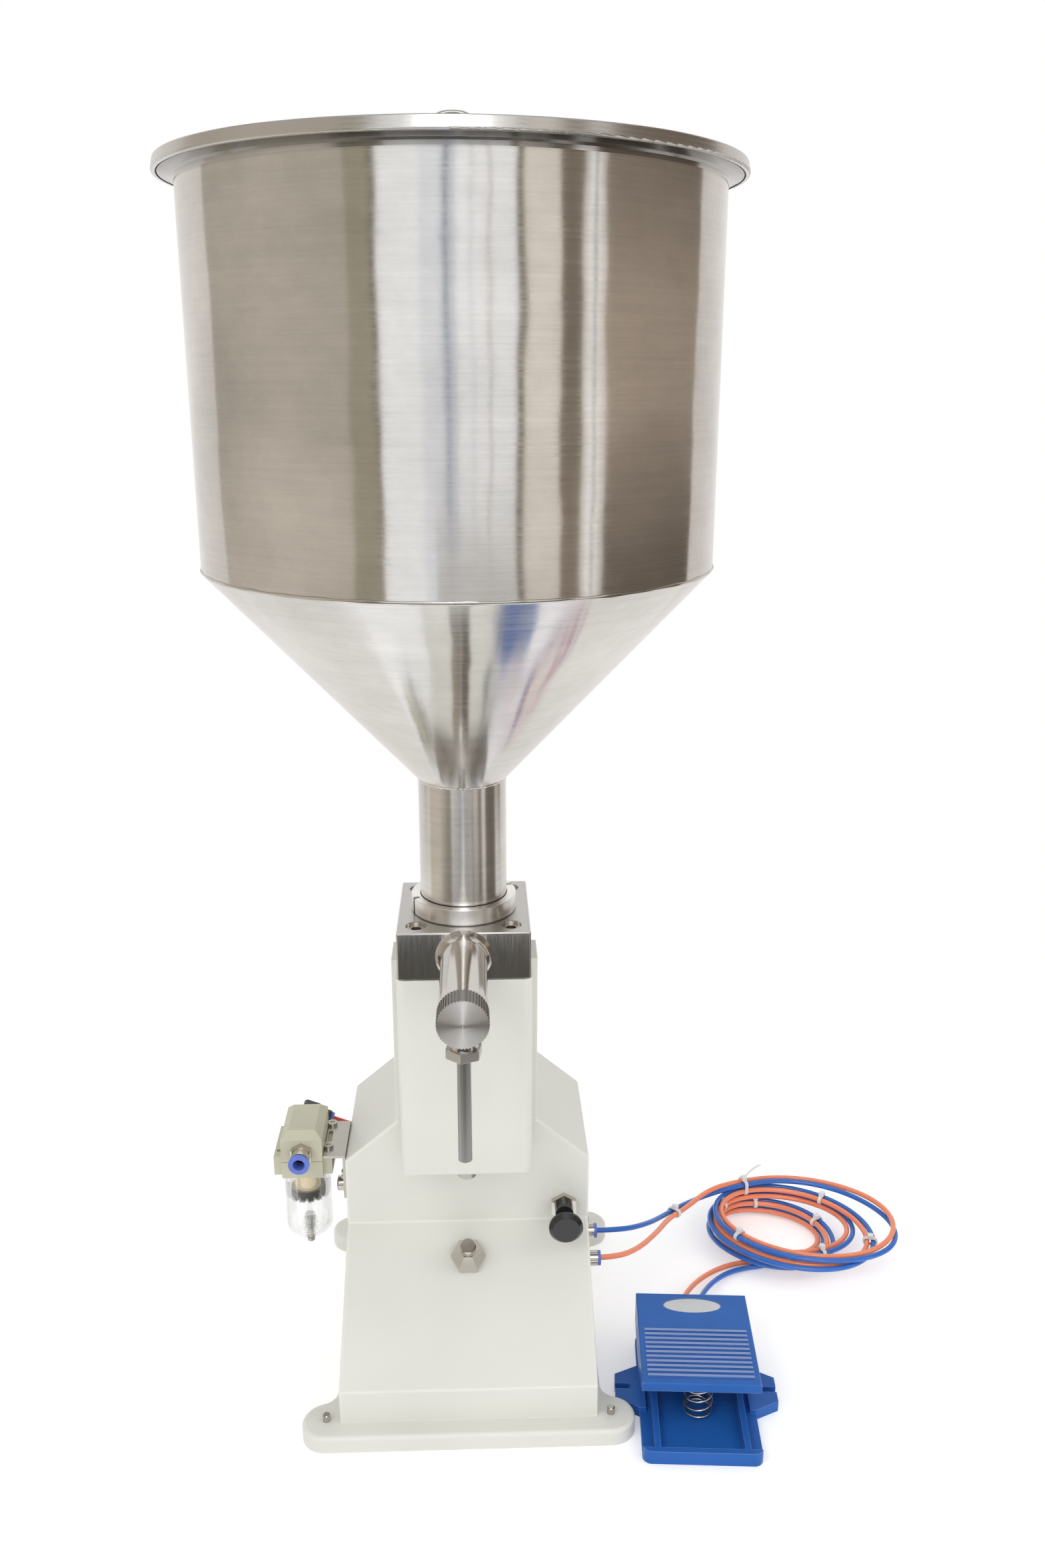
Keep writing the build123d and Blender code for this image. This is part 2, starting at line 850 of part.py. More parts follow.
def outlet_flare_form():
    """Coved root where the outlet tube meets the block, cut level with the block's underside."""
    tube = outlet_diameter / 2
    root = tube + outlet_flare
    reach = outlet_flare_length
    along = (reach ** 2 + outlet_flare ** 2) / (2 * outlet_flare)
    turn = math.asin(reach / along) / 2
    middle = (tube + along - along * math.cos(turn), reach - along * math.sin(turn))
    cove = [
        Line((0, 0), (root, 0)),
        ThreePointArc((root, 0), middle, (tube, reach)),
        Line((tube, reach), (0, reach)),
        Line((0, reach), (0, 0)),
    ]
    flare = revolve(Plane.XZ * make_face(cove), Axis.Z)
    flare = Pos(0, block_front, outlet_z) * Rot(90, 0, 0) * flare
    floor = block_bottom + loose_gap
    return flare & block(-2 * root, 2 * root, outlet_end, block_front, floor, floor + 4 * root)


def make_outlet_tube():
    tube = along_y(0, outlet_z, outlet_end, block_front, outlet_diameter)
    tube += outlet_flare_form()
    tube += upright(0, nozzle_y, nozzle_boss_bottom, outlet_z, nozzle_boss_diameter)
    tube += upright(0, nozzle_y, nozzle_thread_bottom, nozzle_boss_bottom, nozzle_thread_diameter)
    tube -= along_y(0, outlet_z, outlet_end - over, block_front + over, outlet_bore)
    return tube - upright(0, nozzle_y, nozzle_thread_bottom - over, outlet_z, nozzle_passage)


def valve_guide():
    """Bar across the chamber that guides the inlet valve's stem."""
    reach = chamber_diameter / 2 + over
    half = guide_bar_width / 2
    bar = block(-reach, reach, -half, half, block_bottom, block_bottom + guide_bar_height)
    return bar - upright(0, 0, block_bottom - over, neck_bottom, valve_stem_diameter + 2 * running_gap)


def make_block_screws():
    head_bottom = block_top - counterbore_depth
    head_top = head_bottom + block_screw_head_height
    screws = []
    for x, y in block_screw_places():
        screw = upright(x, y, head_bottom - block_screw_length, head_bottom, block_screw_diameter)
        head = upright(x, y, head_bottom, head_top, block_screw_head_diameter)
        socket = Pos(x, y, head_top - block_screw_head_height / 2) * hexagon(socket_across_flats)
        screws.append(screw + head - extrude(socket, block_screw_head_height))
    return group(screws)


def make_lock_ring():
    top = block_top + lock_ring_height
    ring = upright_tube(0, 0, block_top, top, lock_ring_diameter, neck_diameter + 2 * lock_ring_gap)
    rim = [edge for edge in ring.edges() if on_circle(edge, lock_ring_diameter / 2, top)]
    ring = chamfer(rim, lock_ring_edge)
    middle = Pos(0, 0, block_top + lock_ring_height / 2)
    slot = Box(2 * lock_slot_depth, lock_slot_width, lock_ring_height + 2 * over)
    slot = Pos(lock_ring_diameter / 2, 0, 0) * slot
    for number in range(lock_slot_count):
        ring -= middle * Rot(0, 0, lock_slot_angle + 360 * number / lock_slot_count) * slot
    return ring


def make_outlet_cap():
    cap = along_y(0, outlet_z, outlet_end - cap_length, outlet_end, cap_diameter)
    point = Cone(cap_diameter / 2 - cap_rim, cap_tip_diameter / 2, cap_point)
    cap += Pos(0, outlet_end - cap_length - cap_point / 2, outlet_z) * Rot(90, 0, 0) * point
    dimple = Cone(cap_tip_diameter / 4, cap_tip_diameter / 2, cap_dimple_depth)
    cap_front = outlet_end - cap_length - cap_point
    cap -= Pos(0, cap_front + cap_dimple_depth / 2, outlet_z) * Rot(90, 0, 0) * dimple
    groove = Box(knurl_width, cap_length + 2 * over, 2 * knurl_depth)
    middle = Pos(0, outlet_end - cap_length / 2, outlet_z)
    for number in range(knurl_count):
        cap -= middle * Rot(0, 360 * number / knurl_count, 0) * Pos(0, 0, cap_diameter / 2) * groove
    collar_start = outlet_end + cap_thread_length
    guide_start = collar_start + cap_collar_length
    guide_end = guide_start + cap_guide_length
    cap += along_y(0, outlet_z, outlet_end, collar_start, outlet_bore - 2 * thread_gap)
    cap += along_y(0, outlet_z, collar_start, guide_start, cap_collar_diameter)
    cap += along_y(0, outlet_z, guide_start, guide_end, cap_guide_diameter)
    stem_room = valve_stem_diameter + 2 * running_gap
    return cap - along_y(0, outlet_z, guide_end - cap_guide_bore_depth, guide_end + over, stem_room)


def make_nozzle_nut():
    top = nozzle_boss_bottom
    bottom = top - nozzle_nut_height
    outline = Pos(0, nozzle_y, bottom) * Rot(0, 0, nozzle_nut_turn) * hexagon(nozzle_nut_flats)
    nut = extrude(outline, nozzle_nut_height)
    nut = chamfer(nut.edges().group_by(Axis.Z)[0], block_edge)
    shoulder = nozzle_thread_bottom - nozzle_flange_thickness - thread_gap
    nut -= upright(0, nozzle_y, shoulder, top + over, nozzle_thread_diameter + 2 * thread_gap)
    return nut - upright(0, nozzle_y, bottom - over, top, nozzle_collar_diameter + 2 * thread_gap)


def make_nozzle_tube():
    flange_bottom = nozzle_thread_bottom - nozzle_flange_thickness
    nut_bottom = nozzle_boss_bottom - nozzle_nut_height
    groove_bottom = nut_bottom - nozzle_groove_length
    tube = upright(0, nozzle_y, nozzle_bottom, groove_bottom, nozzle_diameter)
    tube += upright(0, nozzle_y, groove_bottom, nut_bottom, nozzle_groove_diameter)
    tube += upright(0, nozzle_y, nut_bottom, flange_bottom, nozzle_collar_diameter)
    tube += upright(0, nozzle_y, flange_bottom, nozzle_thread_bottom, nozzle_thread_diameter)
    return tube - upright(0, nozzle_y, nozzle_bottom - over, nozzle_thread_bottom + over, nozzle_bore)


# Product valves

def make_inlet_valve():
    top = seat_bottom - seat_gap
    stem_bottom = block_bottom + guide_bar_height - guide_engagement
    valve = upright(0, 0, top - inlet_head_thickness, top, inlet_head_diameter)
    return valve + upright(0, 0, stem_bottom, top, valve_stem_diameter)


def make_outlet_valve():
    seat = block_front - seat_gap
    guide_end = outlet_end + cap_thread_length + cap_collar_length + cap_guide_length
    valve = along_y(0, outlet_z, seat - outlet_head_thickness, seat, outlet_head_diameter)
    return valve + along_y(0, outlet_z, guide_end - outlet_stem_engagement, seat, valve_stem_diameter)


# Wound tubes

def biarc(start, start_heading, end, end_heading):
    """Two tangent arcs from one point and heading to the next."""
    span = end - start
    spread = 1 - start_heading.dot(end_heading)
    lean = span.dot(start_heading + end_heading)
    reach = (math.sqrt(lean ** 2 + 2 * spread * span.dot(span)) - lean) / (2 * spread)
    joint = (start + end + (start_heading - end_heading) * reach) * 0.5
    middle_heading = (end - end_heading * reach) - (start + start_heading * reach)
    return [
        Edge.make_tangent_arc(start, start_heading, joint),
        Edge.make_tangent_arc(joint, middle_heading, end),
    ]


def wound_path(points, headings):
    edges = []
    for number in range(len(points) - 1):
        edges += biarc(points[number], headings[number], points[number + 1], headings[number + 1])
    return edges


def swept(path, diameter):
    section = Plane(origin=path @ 0, z_dir=path % 0) * Circle(diameter / 2)
    return sweep(section, path=path)


def spring(diameter, wire, height, turns):
    """Upright coil spring that stands on the plane Z = 0."""
    radius = (diameter - wire) / 2
    climb = (height - wire) / (turns * 2 * math.pi)
    points = []
    headings = []
    for quarter in range(4 * turns + 1):
        angle = quarter * math.pi / 2
        points.append(Vector(radius * math.cos(angle), radius * math.sin(angle), wire / 2 + climb * angle))
        headings.append(Vector(-radius * math.sin(angle), radius * math.cos(angle), climb).normalized())
    return swept(Wire(wound_path(points, headings)), wire)


def make_inlet_spring():
    bottom = block_bottom + guide_bar_height
    height = seat_bottom - seat_gap - inlet_head_thickness - bottom
    form = spring(inlet_spring_diameter, inlet_spring_wire, height - 2 * seat_gap, inlet_spring_turns)
    return Pos(0, 0, bottom + seat_gap) * form


def make_outlet_spring():
    front = outlet_end + cap_thread_length + cap_collar_length
    length = block_front - seat_gap - outlet_head_thickness - front
    form = spring(outlet_spring_diameter, outlet_spring_wire, length - 2 * seat_gap, outlet_spring_turns)
    return Pos(0, front + seat_gap, outlet_z) * Rot(-90, 0, 0) * form


# Hopper

def cone_lift():
    """Height between the outer and the inner corner where the cone meets an upright wall."""
    run = (hopper_diameter - neck_diameter) / 2
    return hopper_wall * math.tan(math.atan2(run, cone_height) / 2)


def make_hopper_cone():
    neck = neck_diameter / 2
    body = hopper_diameter / 2
    return turned([
        (neck, neck_top),
        (body, cone_top),
        (body, cone_top + cone_lift()),
        (body - hopper_wall, cone_top + cone_lift()),
        (neck - hopper_wall, neck_top + cone_lift()),
        (neck - hopper_wall, neck_top),
    ])


def make_hopper_neck():
    return upright_tube(0, 0, neck_bottom, neck_top, neck_diameter, neck_diameter - 2 * hopper_wall)


def make_hopper():
    body = hopper_diameter / 2
    edge = lip_diameter / 2
    edge_bottom = hopper_top - lip_drop
    cove_top = edge_bottom - lip_slope
    return turned([
        (body, cone_top + cone_lift()),
        (body, cove_top - lip_cove),
        (body + lip_cove / 3, cove_top - lip_cove / 3),
        (body + lip_cove, cove_top),
        (edge, edge_bottom),
        (edge, edge_bottom + lip_sheet),
        (body, cove_top + 2 * lip_sheet),
        (body, hopper_top),
        (body - hopper_wall, hopper_top),
        (body - hopper_wall, cone_top + cone_lift()),
    ])


def make_hopper_lid():
    rim = lid_diameter / 2
    plug = hopper_diameter / 2 - hopper_wall - lid_plug_clearance
    under = lid_top - lid_sheet
    hole = knob_stud_diameter / 2 + thread_gap
    seat = lid_seat_diameter / 2
    bottom = lid_top - lid_skirt
    shoulder = rim - lid_draft
    lid = turned([
        (rim - lid_hem, bottom),
        (rim, bottom),
        (shoulder, lid_top),
        (plug - lid_sheet, lid_top),
        (seat, knob_seat),
        (hole, knob_seat),
        (hole, knob_seat - lid_sheet),
        (seat, knob_seat - lid_sheet),
        (plug - lid_sheet, under),
        (plug - lid_sheet, lid_top - lid_plug_depth),
        (plug, lid_top - lid_plug_depth),
        (plug, under),
        (shoulder - lid_sheet, under),
        (rim - 2 * lid_sheet, bottom + lid_hem_height),
        (rim - lid_hem, bottom + lid_hem_height),
    ])
    lid = fillet([edge for edge in lid.edges() if on_circle(edge, rim, bottom)], lid_hem_radius)
    return fillet([edge for edge in lid.edges() if on_circle(edge, shoulder, lid_top)], lid_edge_radius)


def make_lid_knob():
    top = knob_seat + knob_height
    stud = knob_stud_diameter / 2
    waist = knob_waist_diameter / 2
    head = knob_diameter / 2
    knob = turned([
        (0, knob_seat - 2 * lid_sheet),
        (stud, knob_seat - 2 * lid_sheet),
        (stud, knob_seat),
        (knob_foot_diameter / 2, knob_seat),
        (waist, knob_seat + knob_foot_height),
        (waist, knob_seat + knob_waist_top),
        (head, knob_seat + knob_shoulder_height),
        (head, top),
        (0, top),
    ])
    return fillet(knob.edges().group_by(Axis.Z)[-1], knob_top_radius)


# Filling cylinder, air cylinder and rod

def make_filling_cylinder():
    tube = upright(0, 0, filling_bottom, block_bottom, cylinder_outer)
    tube += upright(0, 0, block_bottom - filling_flange_thickness, block_bottom, filling_flange_diameter)
    return tube - upright(0, 0, filling_bottom - over, block_bottom + over, bore)


def seal_levels():
    """Bottom of each groove for a seal in the filling piston."""
    step = filling_piston_thickness / (seal_count + 1)
    return [filling_piston_bottom + step * (number + 1) - seal_width / 2 for number in range(seal_count)]


def filling_piston():
    size = bore - 2 * running_gap
    piston = upright(0, 0, filling_piston_bottom, filling_piston_top, size)
    for level in seal_levels():
        piston -= upright_tube(0, 0, level, level + seal_width, bore + over, size - 2 * seal_depth)
    socket = filling_piston_bottom + rod_spigot_length + thread_gap
    return piston - upright(0, 0, filling_piston_bottom - over, socket, rod_spigot_diameter + 2 * thread_gap)


def make_piston_seals():
    inner = bore - 2 * running_gap - 2 * seal_depth + 2 * thread_gap
    seals = []
    for level in seal_levels():
        bottom = level + thread_gap
        seals.append(upright_tube(0, 0, bottom, level + seal_width - thread_gap, bore - running_gap, inner))
    return group(seals)


def make_piston_rod():
    rod = upright(0, 0, air_piston_top, filling_piston_bottom, rod_diameter)
    spigot_top = filling_piston_bottom + rod_spigot_length
    rod += upright(0, 0, filling_piston_bottom, spigot_top, rod_spigot_diameter)
    return rod + upright(0, 0, air_piston_bottom, air_piston_top, rod_spigot_diameter)


def make_air_cylinder():
    barrel = upright_tube(0, 0, air_chamber_bottom, air_chamber_top, cylinder_outer, bore)
    top_cap = upright(0, 0, air_chamber_top, air_top, air_cap_diameter)
    half_lug = air_cap_lug_depth / 2
    top_cap += block(-post_inner, post_inner, -half_lug, half_lug, air_chamber_top, air_top)
    top_cap -= upright(0, 0, air_chamber_top - over, air_top + over, rod_diameter + 2 * running_gap)
    bottom_cap = upright(0, 0, air_bottom, air_chamber_bottom, air_cap_diameter)
    return group([barrel, top_cap, bottom_cap])


def air_piston():
    piston = upright(0, 0, air_piston_bottom, air_piston_top, bore - 2 * running_gap)
    spigot = rod_spigot_diameter + 2 * thread_gap
    return piston - upright(0, 0, air_piston_bottom - over, air_piston_top + over, spigot)


def make_pistons():
    return group([filling_piston(), air_piston()])


def make_stroke_arm():
    arm = upright(0, 0, arm_bottom, arm_top, arm_ring_diameter)
    arm += block(-arm_width / 2, arm_width / 2, -screw_setback, 0, arm_bottom, arm_top)
    arm += upright(0, -screw_setback, arm_bottom, arm_top, arm_width)
    arm -= upright(0, 0, arm_bottom - over, arm_top + over, rod_diameter + 2 * thread_gap)
    screw_room = stroke_screw_diameter + 2 * loose_gap
    return arm - upright(0, -screw_setback, arm_bottom - over, arm_top + over, screw_room)


def make_stroke_screw():
    y = -screw_setback
    head_top = cover_bottom - seat_gap
    collar_bottom = cover_bottom + cover_sheet + seat_gap
    top = block_bottom - top_plate_thickness / 2
    screw = upright(0, y, head_top - over, top, stroke_screw_diameter)
    head = upright(0, y, head_top - stroke_head_height, head_top, stroke_head_diameter)
    screw += chamfer(head.edges().group_by(Axis.Z)[0], block_edge)
    screw += upright(0, y, collar_bottom, collar_bottom + stroke_collar_height, stroke_head_diameter)
    socket = Pos(0, y, head_top - stroke_head_height) * hexagon(socket_across_flats)
    return screw - extrude(socket, stroke_head_height / 2)


def make_stop_nut():
    half = stop_nut_width / 2
    bottom = stop_nut_top - stop_nut_height
    nut = block(-half, half, -screw_setback - half, -screw_setback + half, bottom, stop_nut_top)
    nut = chamfer(nut.edges().filter_by(Axis.Z), block_edge)
    hole = stroke_screw_diameter + 2 * running_gap
    return nut - upright(0, -screw_setback, bottom - over, stop_nut_top + over, hole)


# Air controls

def make_reversing_valve():
    half_length = reversing_length / 2
    half_width = reversing_width / 2
    middle_z = base_top + reversing_height / 2
    valve = block(reversing_x - half_length, reversing_x + half_length, reversing_y - half_width,
                  reversing_y + half_width, base_top, base_top + reversing_height)
    valve = chamfer(valve.edges(), block_edge)
    left = reversing_x - half_length - reversing_end_length
    right = reversing_x + half_length + reversing_end_length
    return valve + along_x(reversing_y, middle_z, left, right, reversing_end_diameter)


def make_pull_valve_body():
    inside = facet_y + sheet
    barrel_front = facet_y - pull_barrel_length
    half = pull_body_width / 2
    body = block(pull_valve_x - half, pull_valve_x + half, inside, inside + pull_body_length,
                 pull_valve_z - half, pull_valve_z + half)
    body += along_y(pull_valve_x, pull_valve_z, barrel_front, inside, pull_barrel_diameter)
    stem_end = barrel_front + pull_stem_depth + over
    stem_room = pull_stem_diameter + 2 * running_gap
    return body - along_y(pull_valve_x, pull_valve_z, barrel_front - over, stem_end, stem_room)


def make_pull_valve_nut():
    place = Plane(origin=(pull_valve_x, facet_y, pull_valve_z), x_dir=(0, 0, 1), z_dir=(0, -1, 0))
    nut = extrude(place * hexagon(pull_nut_flats), pull_nut_thickness)
    hole = pull_barrel_diameter + 2 * thread_gap
    return nut - along_y(pull_valve_x, pull_valve_z, facet_y - 2 * pull_nut_thickness, facet_y + over, hole)


def make_pull_valve_knob():
    """Mushroom knob turned about Z, then laid along Y with its head to the front."""
    stem = pull_stem_diameter / 2
    head = pull_head_diameter / 2
    back = pull_stem_gap
    front = back + pull_head_thickness
    knob = turned([
        (0, -pull_stem_depth),
        (stem, -pull_stem_depth),
        (stem, 0),
        (stem, pull_neck_length),
        (pull_cup_diameter / 2, back),
        (pull_rim_diameter / 2, back + pull_rim_height),
        (head, back + pull_edge_start),
        (head, back + pull_edge_end),
        (pull_face_diameter / 2, front),
        (0, front),
    ])
    return Pos(pull_valve_x, facet_y - pull_barrel_length, pull_valve_z) * Rot(90, 0, 0) * knob


def make_flow_valve_body():
    barrel = Pos(0, 0, -flow_barrel_depth / 2) * Cylinder(flow_barrel_diameter / 2, flow_barrel_depth)
    base = extrude(hexagon(flow_hex_flats), flow_hex_height)
    top_plane = Plane.XY.offset(flow_hex_height + flow_cone_height)
    cone = loft([Plane.XY.offset(flow_hex_height) * hexagon(flow_hex_flats),
                 top_plane * hexagon(flow_top_flats)])
    valve = barrel + base + cone
    top = flow_hex_height + flow_cone_height
    stem_room = Cylinder(flow_stem_diameter / 2 + running_gap, flow_stem_depth)
    valve -= Pos(0, 0, top + over - flow_stem_depth / 2) * stem_room
    return slope_plane * valve


def make_flow_valve_screw():
    bottom = flow_hex_height + flow_cone_height + seat_gap
    button_bottom = bottom + flow_neck_length
    button = upright(0, 0, button_bottom, button_bottom + flow_button_length, flow_button_diameter)
    levels = button.edges().group_by(Axis.Z)
    button = chamfer(levels[0] + levels[-1], flow_button_edge)
    neck = upright(0, 0, bottom, button_bottom, flow_neck_diameter)
    stem_length = flow_stem_depth - 2 * over
    stem = upright(0, 0, bottom - stem_length, bottom, flow_stem_diameter)
    return slope_plane * (button + neck + stem)


def make_side_plug():
    plug = along_x(plug_y, plug_z, -housing_half - plug_length, -housing_half, plug_diameter)
    plug = fillet(plug.edges().group_by(Axis.X)[0], plug_edge_radius)
    thread_end = -housing_half + 3 * sheet
    return plug + along_x(plug_y, plug_z, -housing_half, thread_end, plug_thread_diameter)


# Air filter

def make_filter_bracket():
    inner_edge = filter_x + filter_wing_width / 2 - bracket_overlap
    front = filter_y - bracket_front
    back = filter_y + bracket_back
    bracket = block(inner_edge, -housing_half, front, back, wing_top, wing_top + bracket_sheet)
    bracket += block(-housing_half - bracket_sheet, -housing_half, front, back, wing_top - bracket_drop,
                     wing_top + bracket_sheet)
    for screw in bracket_screws(thread_gap):
        bracket -= screw
    slot_x = bracket_head_places()[0][0]
    slot = Pos(slot_x, filter_y + pan_head_height, wing_top) * Rot(0, 0, 90) * SlotOverall(
        2 * pan_head_diameter, pan_shank_diameter)
    return bracket - extrude(slot, 2 * bracket_sheet)


def make_filter_head():
    half = filter_head_width / 2
    head = block(filter_x - half, filter_x + half, filter_front, filter_back,
                 filter_head_bottom, filter_head_top)
    top_edges = head.faces().sort_by(Axis.Z)[-1].edges()
    head = chamfer(top_edges, filter_head_chamfer)
    wing = filter_wing_width / 2
    head += block(filter_x - wing, filter_x + wing, filter_y - filter_wing_front, filter_back,
                  filter_head_bottom, wing_top)
    head -= upright(filter_x, filter_y, filter_head_bottom - over, bowl_top, bowl_diameter + 2 * thread_gap)
    head += upright(filter_x, filter_y, element_top, bowl_top + over, element_boss_diameter)
    screw_room = element_screw_diameter + 2 * thread_gap
    screw_end = element_top + bowl_engagement + thread_gap
    head -= upright(filter_x, filter_y, element_top - over, screw_end, screw_room)
    thread_room = inlet_thread_diameter + 2 * thread_gap
    front_port = filter_front + inlet_thread_length
    back_port = filter_back - inlet_thread_length
    head -= along_y(filter_x, filter_port_z, filter_front - over, front_port, thread_room)
    head -= along_y(filter_x, filter_port_z, back_port, filter_back + over, thread_room)
    for screw in bracket_screws(thread_gap)[:2]:
        head -= screw
    for x, y in bracket_head_places():
        head -= upright(2 * filter_x - x, y, wing_top - pan_shank_length, wing_top + over, pan_shank_diameter)
    seam_bottom = filter_head_bottom + filter_seam_height
    return head - block(filter_x - half - over, filter_x + half + over, filter_front - over,
                        filter_front + filter_seam, seam_bottom, seam_bottom + filter_seam)


def make_filter_bowl():
    bowl = upright(filter_x, filter_y, bowl_bottom, bowl_top, bowl_diameter)
    bowl = fillet(bowl.edges().group_by(Axis.Z)[0], bowl_corner_radius)
    inside = bowl_diameter - 2 * bowl_wall
    room = upright(filter_x, filter_y, bowl_bottom + bowl_wall, bowl_top + over, inside)
    bowl -= fillet(room.edges().group_by(Axis.Z)[0], bowl_corner_radius - bowl_wall)
    stem_room = drain_stem_diameter + 2 * running_gap
    return bowl - upright(filter_x, filter_y, bowl_bottom - over, bowl_top, stem_room)


def make_filter_element():
    return upright_tube(filter_x, filter_y, element_bottom, element_top, element_diameter, element_bore)


def make_filter_baffle():
    baffle = upright_tube(filter_x, filter_y, baffle_bottom, element_bottom, baffle_diameter,
                          element_screw_diameter + 2 * thread_gap)
    for number in range(baffle_teeth):
        tooth = Box(2 * baffle_tooth_depth, baffle_tooth_width, 2 * baffle_tooth_height)
        place = Pos(filter_x, filter_y, baffle_bottom) * Rot(0, 0, 360 * number / baffle_teeth)
        baffle -= place * Pos(baffle_diameter / 2, 0, 0) * tooth
    return baffle


def make_drain_stem():
    tip_bottom = bowl_bottom - drain_stem_drop - drain_tip_height
    flange_bottom = bowl_bottom + bowl_wall + seat_gap
    flange_top = flange_bottom + drain_flange_height
    neck_end = flange_top + drain_neck_height
    stem = upright(filter_x, filter_y, tip_bottom, tip_bottom + drain_tip_height, drain_tip_diameter)
    stem += upright(filter_x, filter_y, tip_bottom, neck_end, drain_stem_diameter)
    stem += upright(filter_x, filter_y, flange_bottom, flange_top, drain_flange_diameter)
    return stem + upright(filter_x, filter_y, neck_end, neck_end + drain_button_height, drain_button_diameter)


# Push-in fittings

def make_inlet_fitting():
    hex_front = filter_front - inlet_hex_length
    body_front = hex_front - inlet_body_length
    place = Plane(origin=(filter_x, filter_front, filter_port_z), x_dir=(0, 0, 1), z_dir=(0, -1, 0))
    fitting = extrude(place * hexagon(inlet_hex_flats), inlet_hex_length)
    fitting += along_y(filter_x, filter_port_z, body_front, hex_front, inlet_body_diameter)
    thread_end = filter_front + inlet_thread_length
    fitting += along_y(filter_x, filter_port_z, filter_front, thread_end, inlet_thread_diameter)
    tube_room = inlet_tube_diameter + 2 * tube_entry_gap
    sleeve_room = inlet_collet_sleeve + 2 * running_gap
    sleeve_end = body_front + inlet_collet_depth + inlet_collet_gap
    fitting -= along_y(filter_x, filter_port_z, body_front - over, body_front + inlet_tube_depth, tube_room)
    return fitting - along_y(filter_x, filter_port_z, body_front - over, sleeve_end, sleeve_room)


def make_inlet_collet():
    body_front = filter_front - inlet_hex_length - inlet_body_length
    flange_back = body_front - inlet_collet_gap
    flange_front = flange_back - inlet_collet_flange
    sleeve_end = body_front + inlet_collet_depth
    collet = along_y(filter_x, filter_port_z, flange_front, flange_back, inlet_collet_diameter)
    collet += along_y(filter_x, filter_port_z, flange_back, sleeve_end, inlet_collet_sleeve)
    tube_room = inlet_tube_diameter + 2 * tube_entry_gap
    return collet - along_y(filter_x, filter_port_z, flange_front - over, sleeve_end + over, tube_room)


def make_bulkhead(y):
    wall = housing_half
    fitting = along_x(y, bulkhead_height, wall, wall + fitting_length, fitting_diameter)
    fitting += along_x(y, bulkhead_height, wall - fitting_thread_length, wall, fitting_thread_diameter)
    hose_room = hose_diameter + 2 * thread_gap
    return fitting - along_x(y, bulkhead_height, wall, wall + fitting_length + over, hose_room)


def pedal_ports():
    return [-pedal_port_spread / 2, pedal_port_spread / 2]


def make_pedal_fitting(x):
    front = pedal_valve_back
    fitting = along_y(x, pedal_port_height, front, front + fitting_length, pedal_fitting_diameter)
    hose_room = hose_diameter + 2 * thread_gap
    fitting -= along_y(x, pedal_port_height, front, front + fitting_length + over, hose_room)
    return pedal_place * fitting


def make_air_fittings():
    fittings = [make_inlet_fitting(), make_side_plug()]
    for y in (blue_bulkhead_y, orange_bulkhead_y):
        fittings.append(make_bulkhead(y))
    for x in pedal_ports():
        fittings.append(make_pedal_fitting(x))
    return group(fittings)


def make_hose_collets():
    hose_room = hose_diameter + 2 * thread_gap
    collets = []
    wall_face = housing_half + fitting_length
    for y in (blue_bulkhead_y, orange_bulkhead_y):
        ring = along_x(y, bulkhead_height, wall_face, wall_face + collet_flange, collet_diameter)
        ring -= along_x(y, bulkhead_height, wall_face - over, wall_face + 2 * collet_flange, hose_room)
        collets.append(ring)
    pedal_face = pedal_valve_back + fitting_length
    for x in pedal_ports():
        ring = along_y(x, pedal_port_height, pedal_face, pedal_face + collet_flange, pedal_fitting_diameter)
        ring -= along_y(x, pedal_port_height, pedal_face - over, pedal_face + 2 * collet_flange, hose_room)
        collets.append(pedal_place * ring)
    elbow_face = filter_x + elbow_reach
    ring = along_x(elbow_y, filter_port_z, elbow_face, elbow_face + collet_flange, collet_diameter)
    tube_room = supply_tube_diameter + 2 * thread_gap
    ring -= along_x(elbow_y, filter_port_z, elbow_face - over, elbow_face + 2 * collet_flange, tube_room)
    collets.append(tilted(ring))
    return group(collets)


def tilted(form):
    """A form on the elbow's outlet side, turned down about the port's axis."""
    return Pos(filter_x, 0, filter_port_z) * Rot(0, elbow_tilt, 0) * Pos(-filter_x, 0, -filter_port_z) * form


def supply_tube_ends():
    """Distance from the elbow's middle line at which the tube starts and ends, before the tilt."""
    start = filter_x + elbow_reach - supply_tube_inside
    reach = (filter_reach + supply_tube_inside) / math.cos(math.radians(elbow_tilt))
    return start, filter_x + reach


def make_elbow_fitting():
    half = elbow_block / 2
    thread_end = filter_back - inlet_thread_length
    elbow = block(filter_x - half, filter_x + half, elbow_y - half, elbow_y + half, filter_port_z - half,
                  filter_port_z + half)
    elbow = chamfer(elbow.edges(), 2 * block_edge)
    elbow += along_x(elbow_y, filter_port_z, filter_x, filter_x + elbow_reach, elbow_diameter)
    tube_start, tube_end = supply_tube_ends()
    tube_room = supply_tube_diameter + 2 * thread_gap
    elbow -= along_x(elbow_y, filter_port_z, tube_start, tube_end, tube_room)
    elbow = tilted(elbow)
    elbow += along_y(filter_x, filter_port_z, filter_back, elbow_y - half / 2, elbow_diameter)
    return elbow + along_y(filter_x, filter_port_z, thread_end, filter_back, inlet_thread_diameter)


def make_supply_tube():
    start, end = supply_tube_ends()
    return tilted(along_x(elbow_y, filter_port_z, start, end, supply_tube_diameter))


# Foot valve, made about its own middle and then set in place

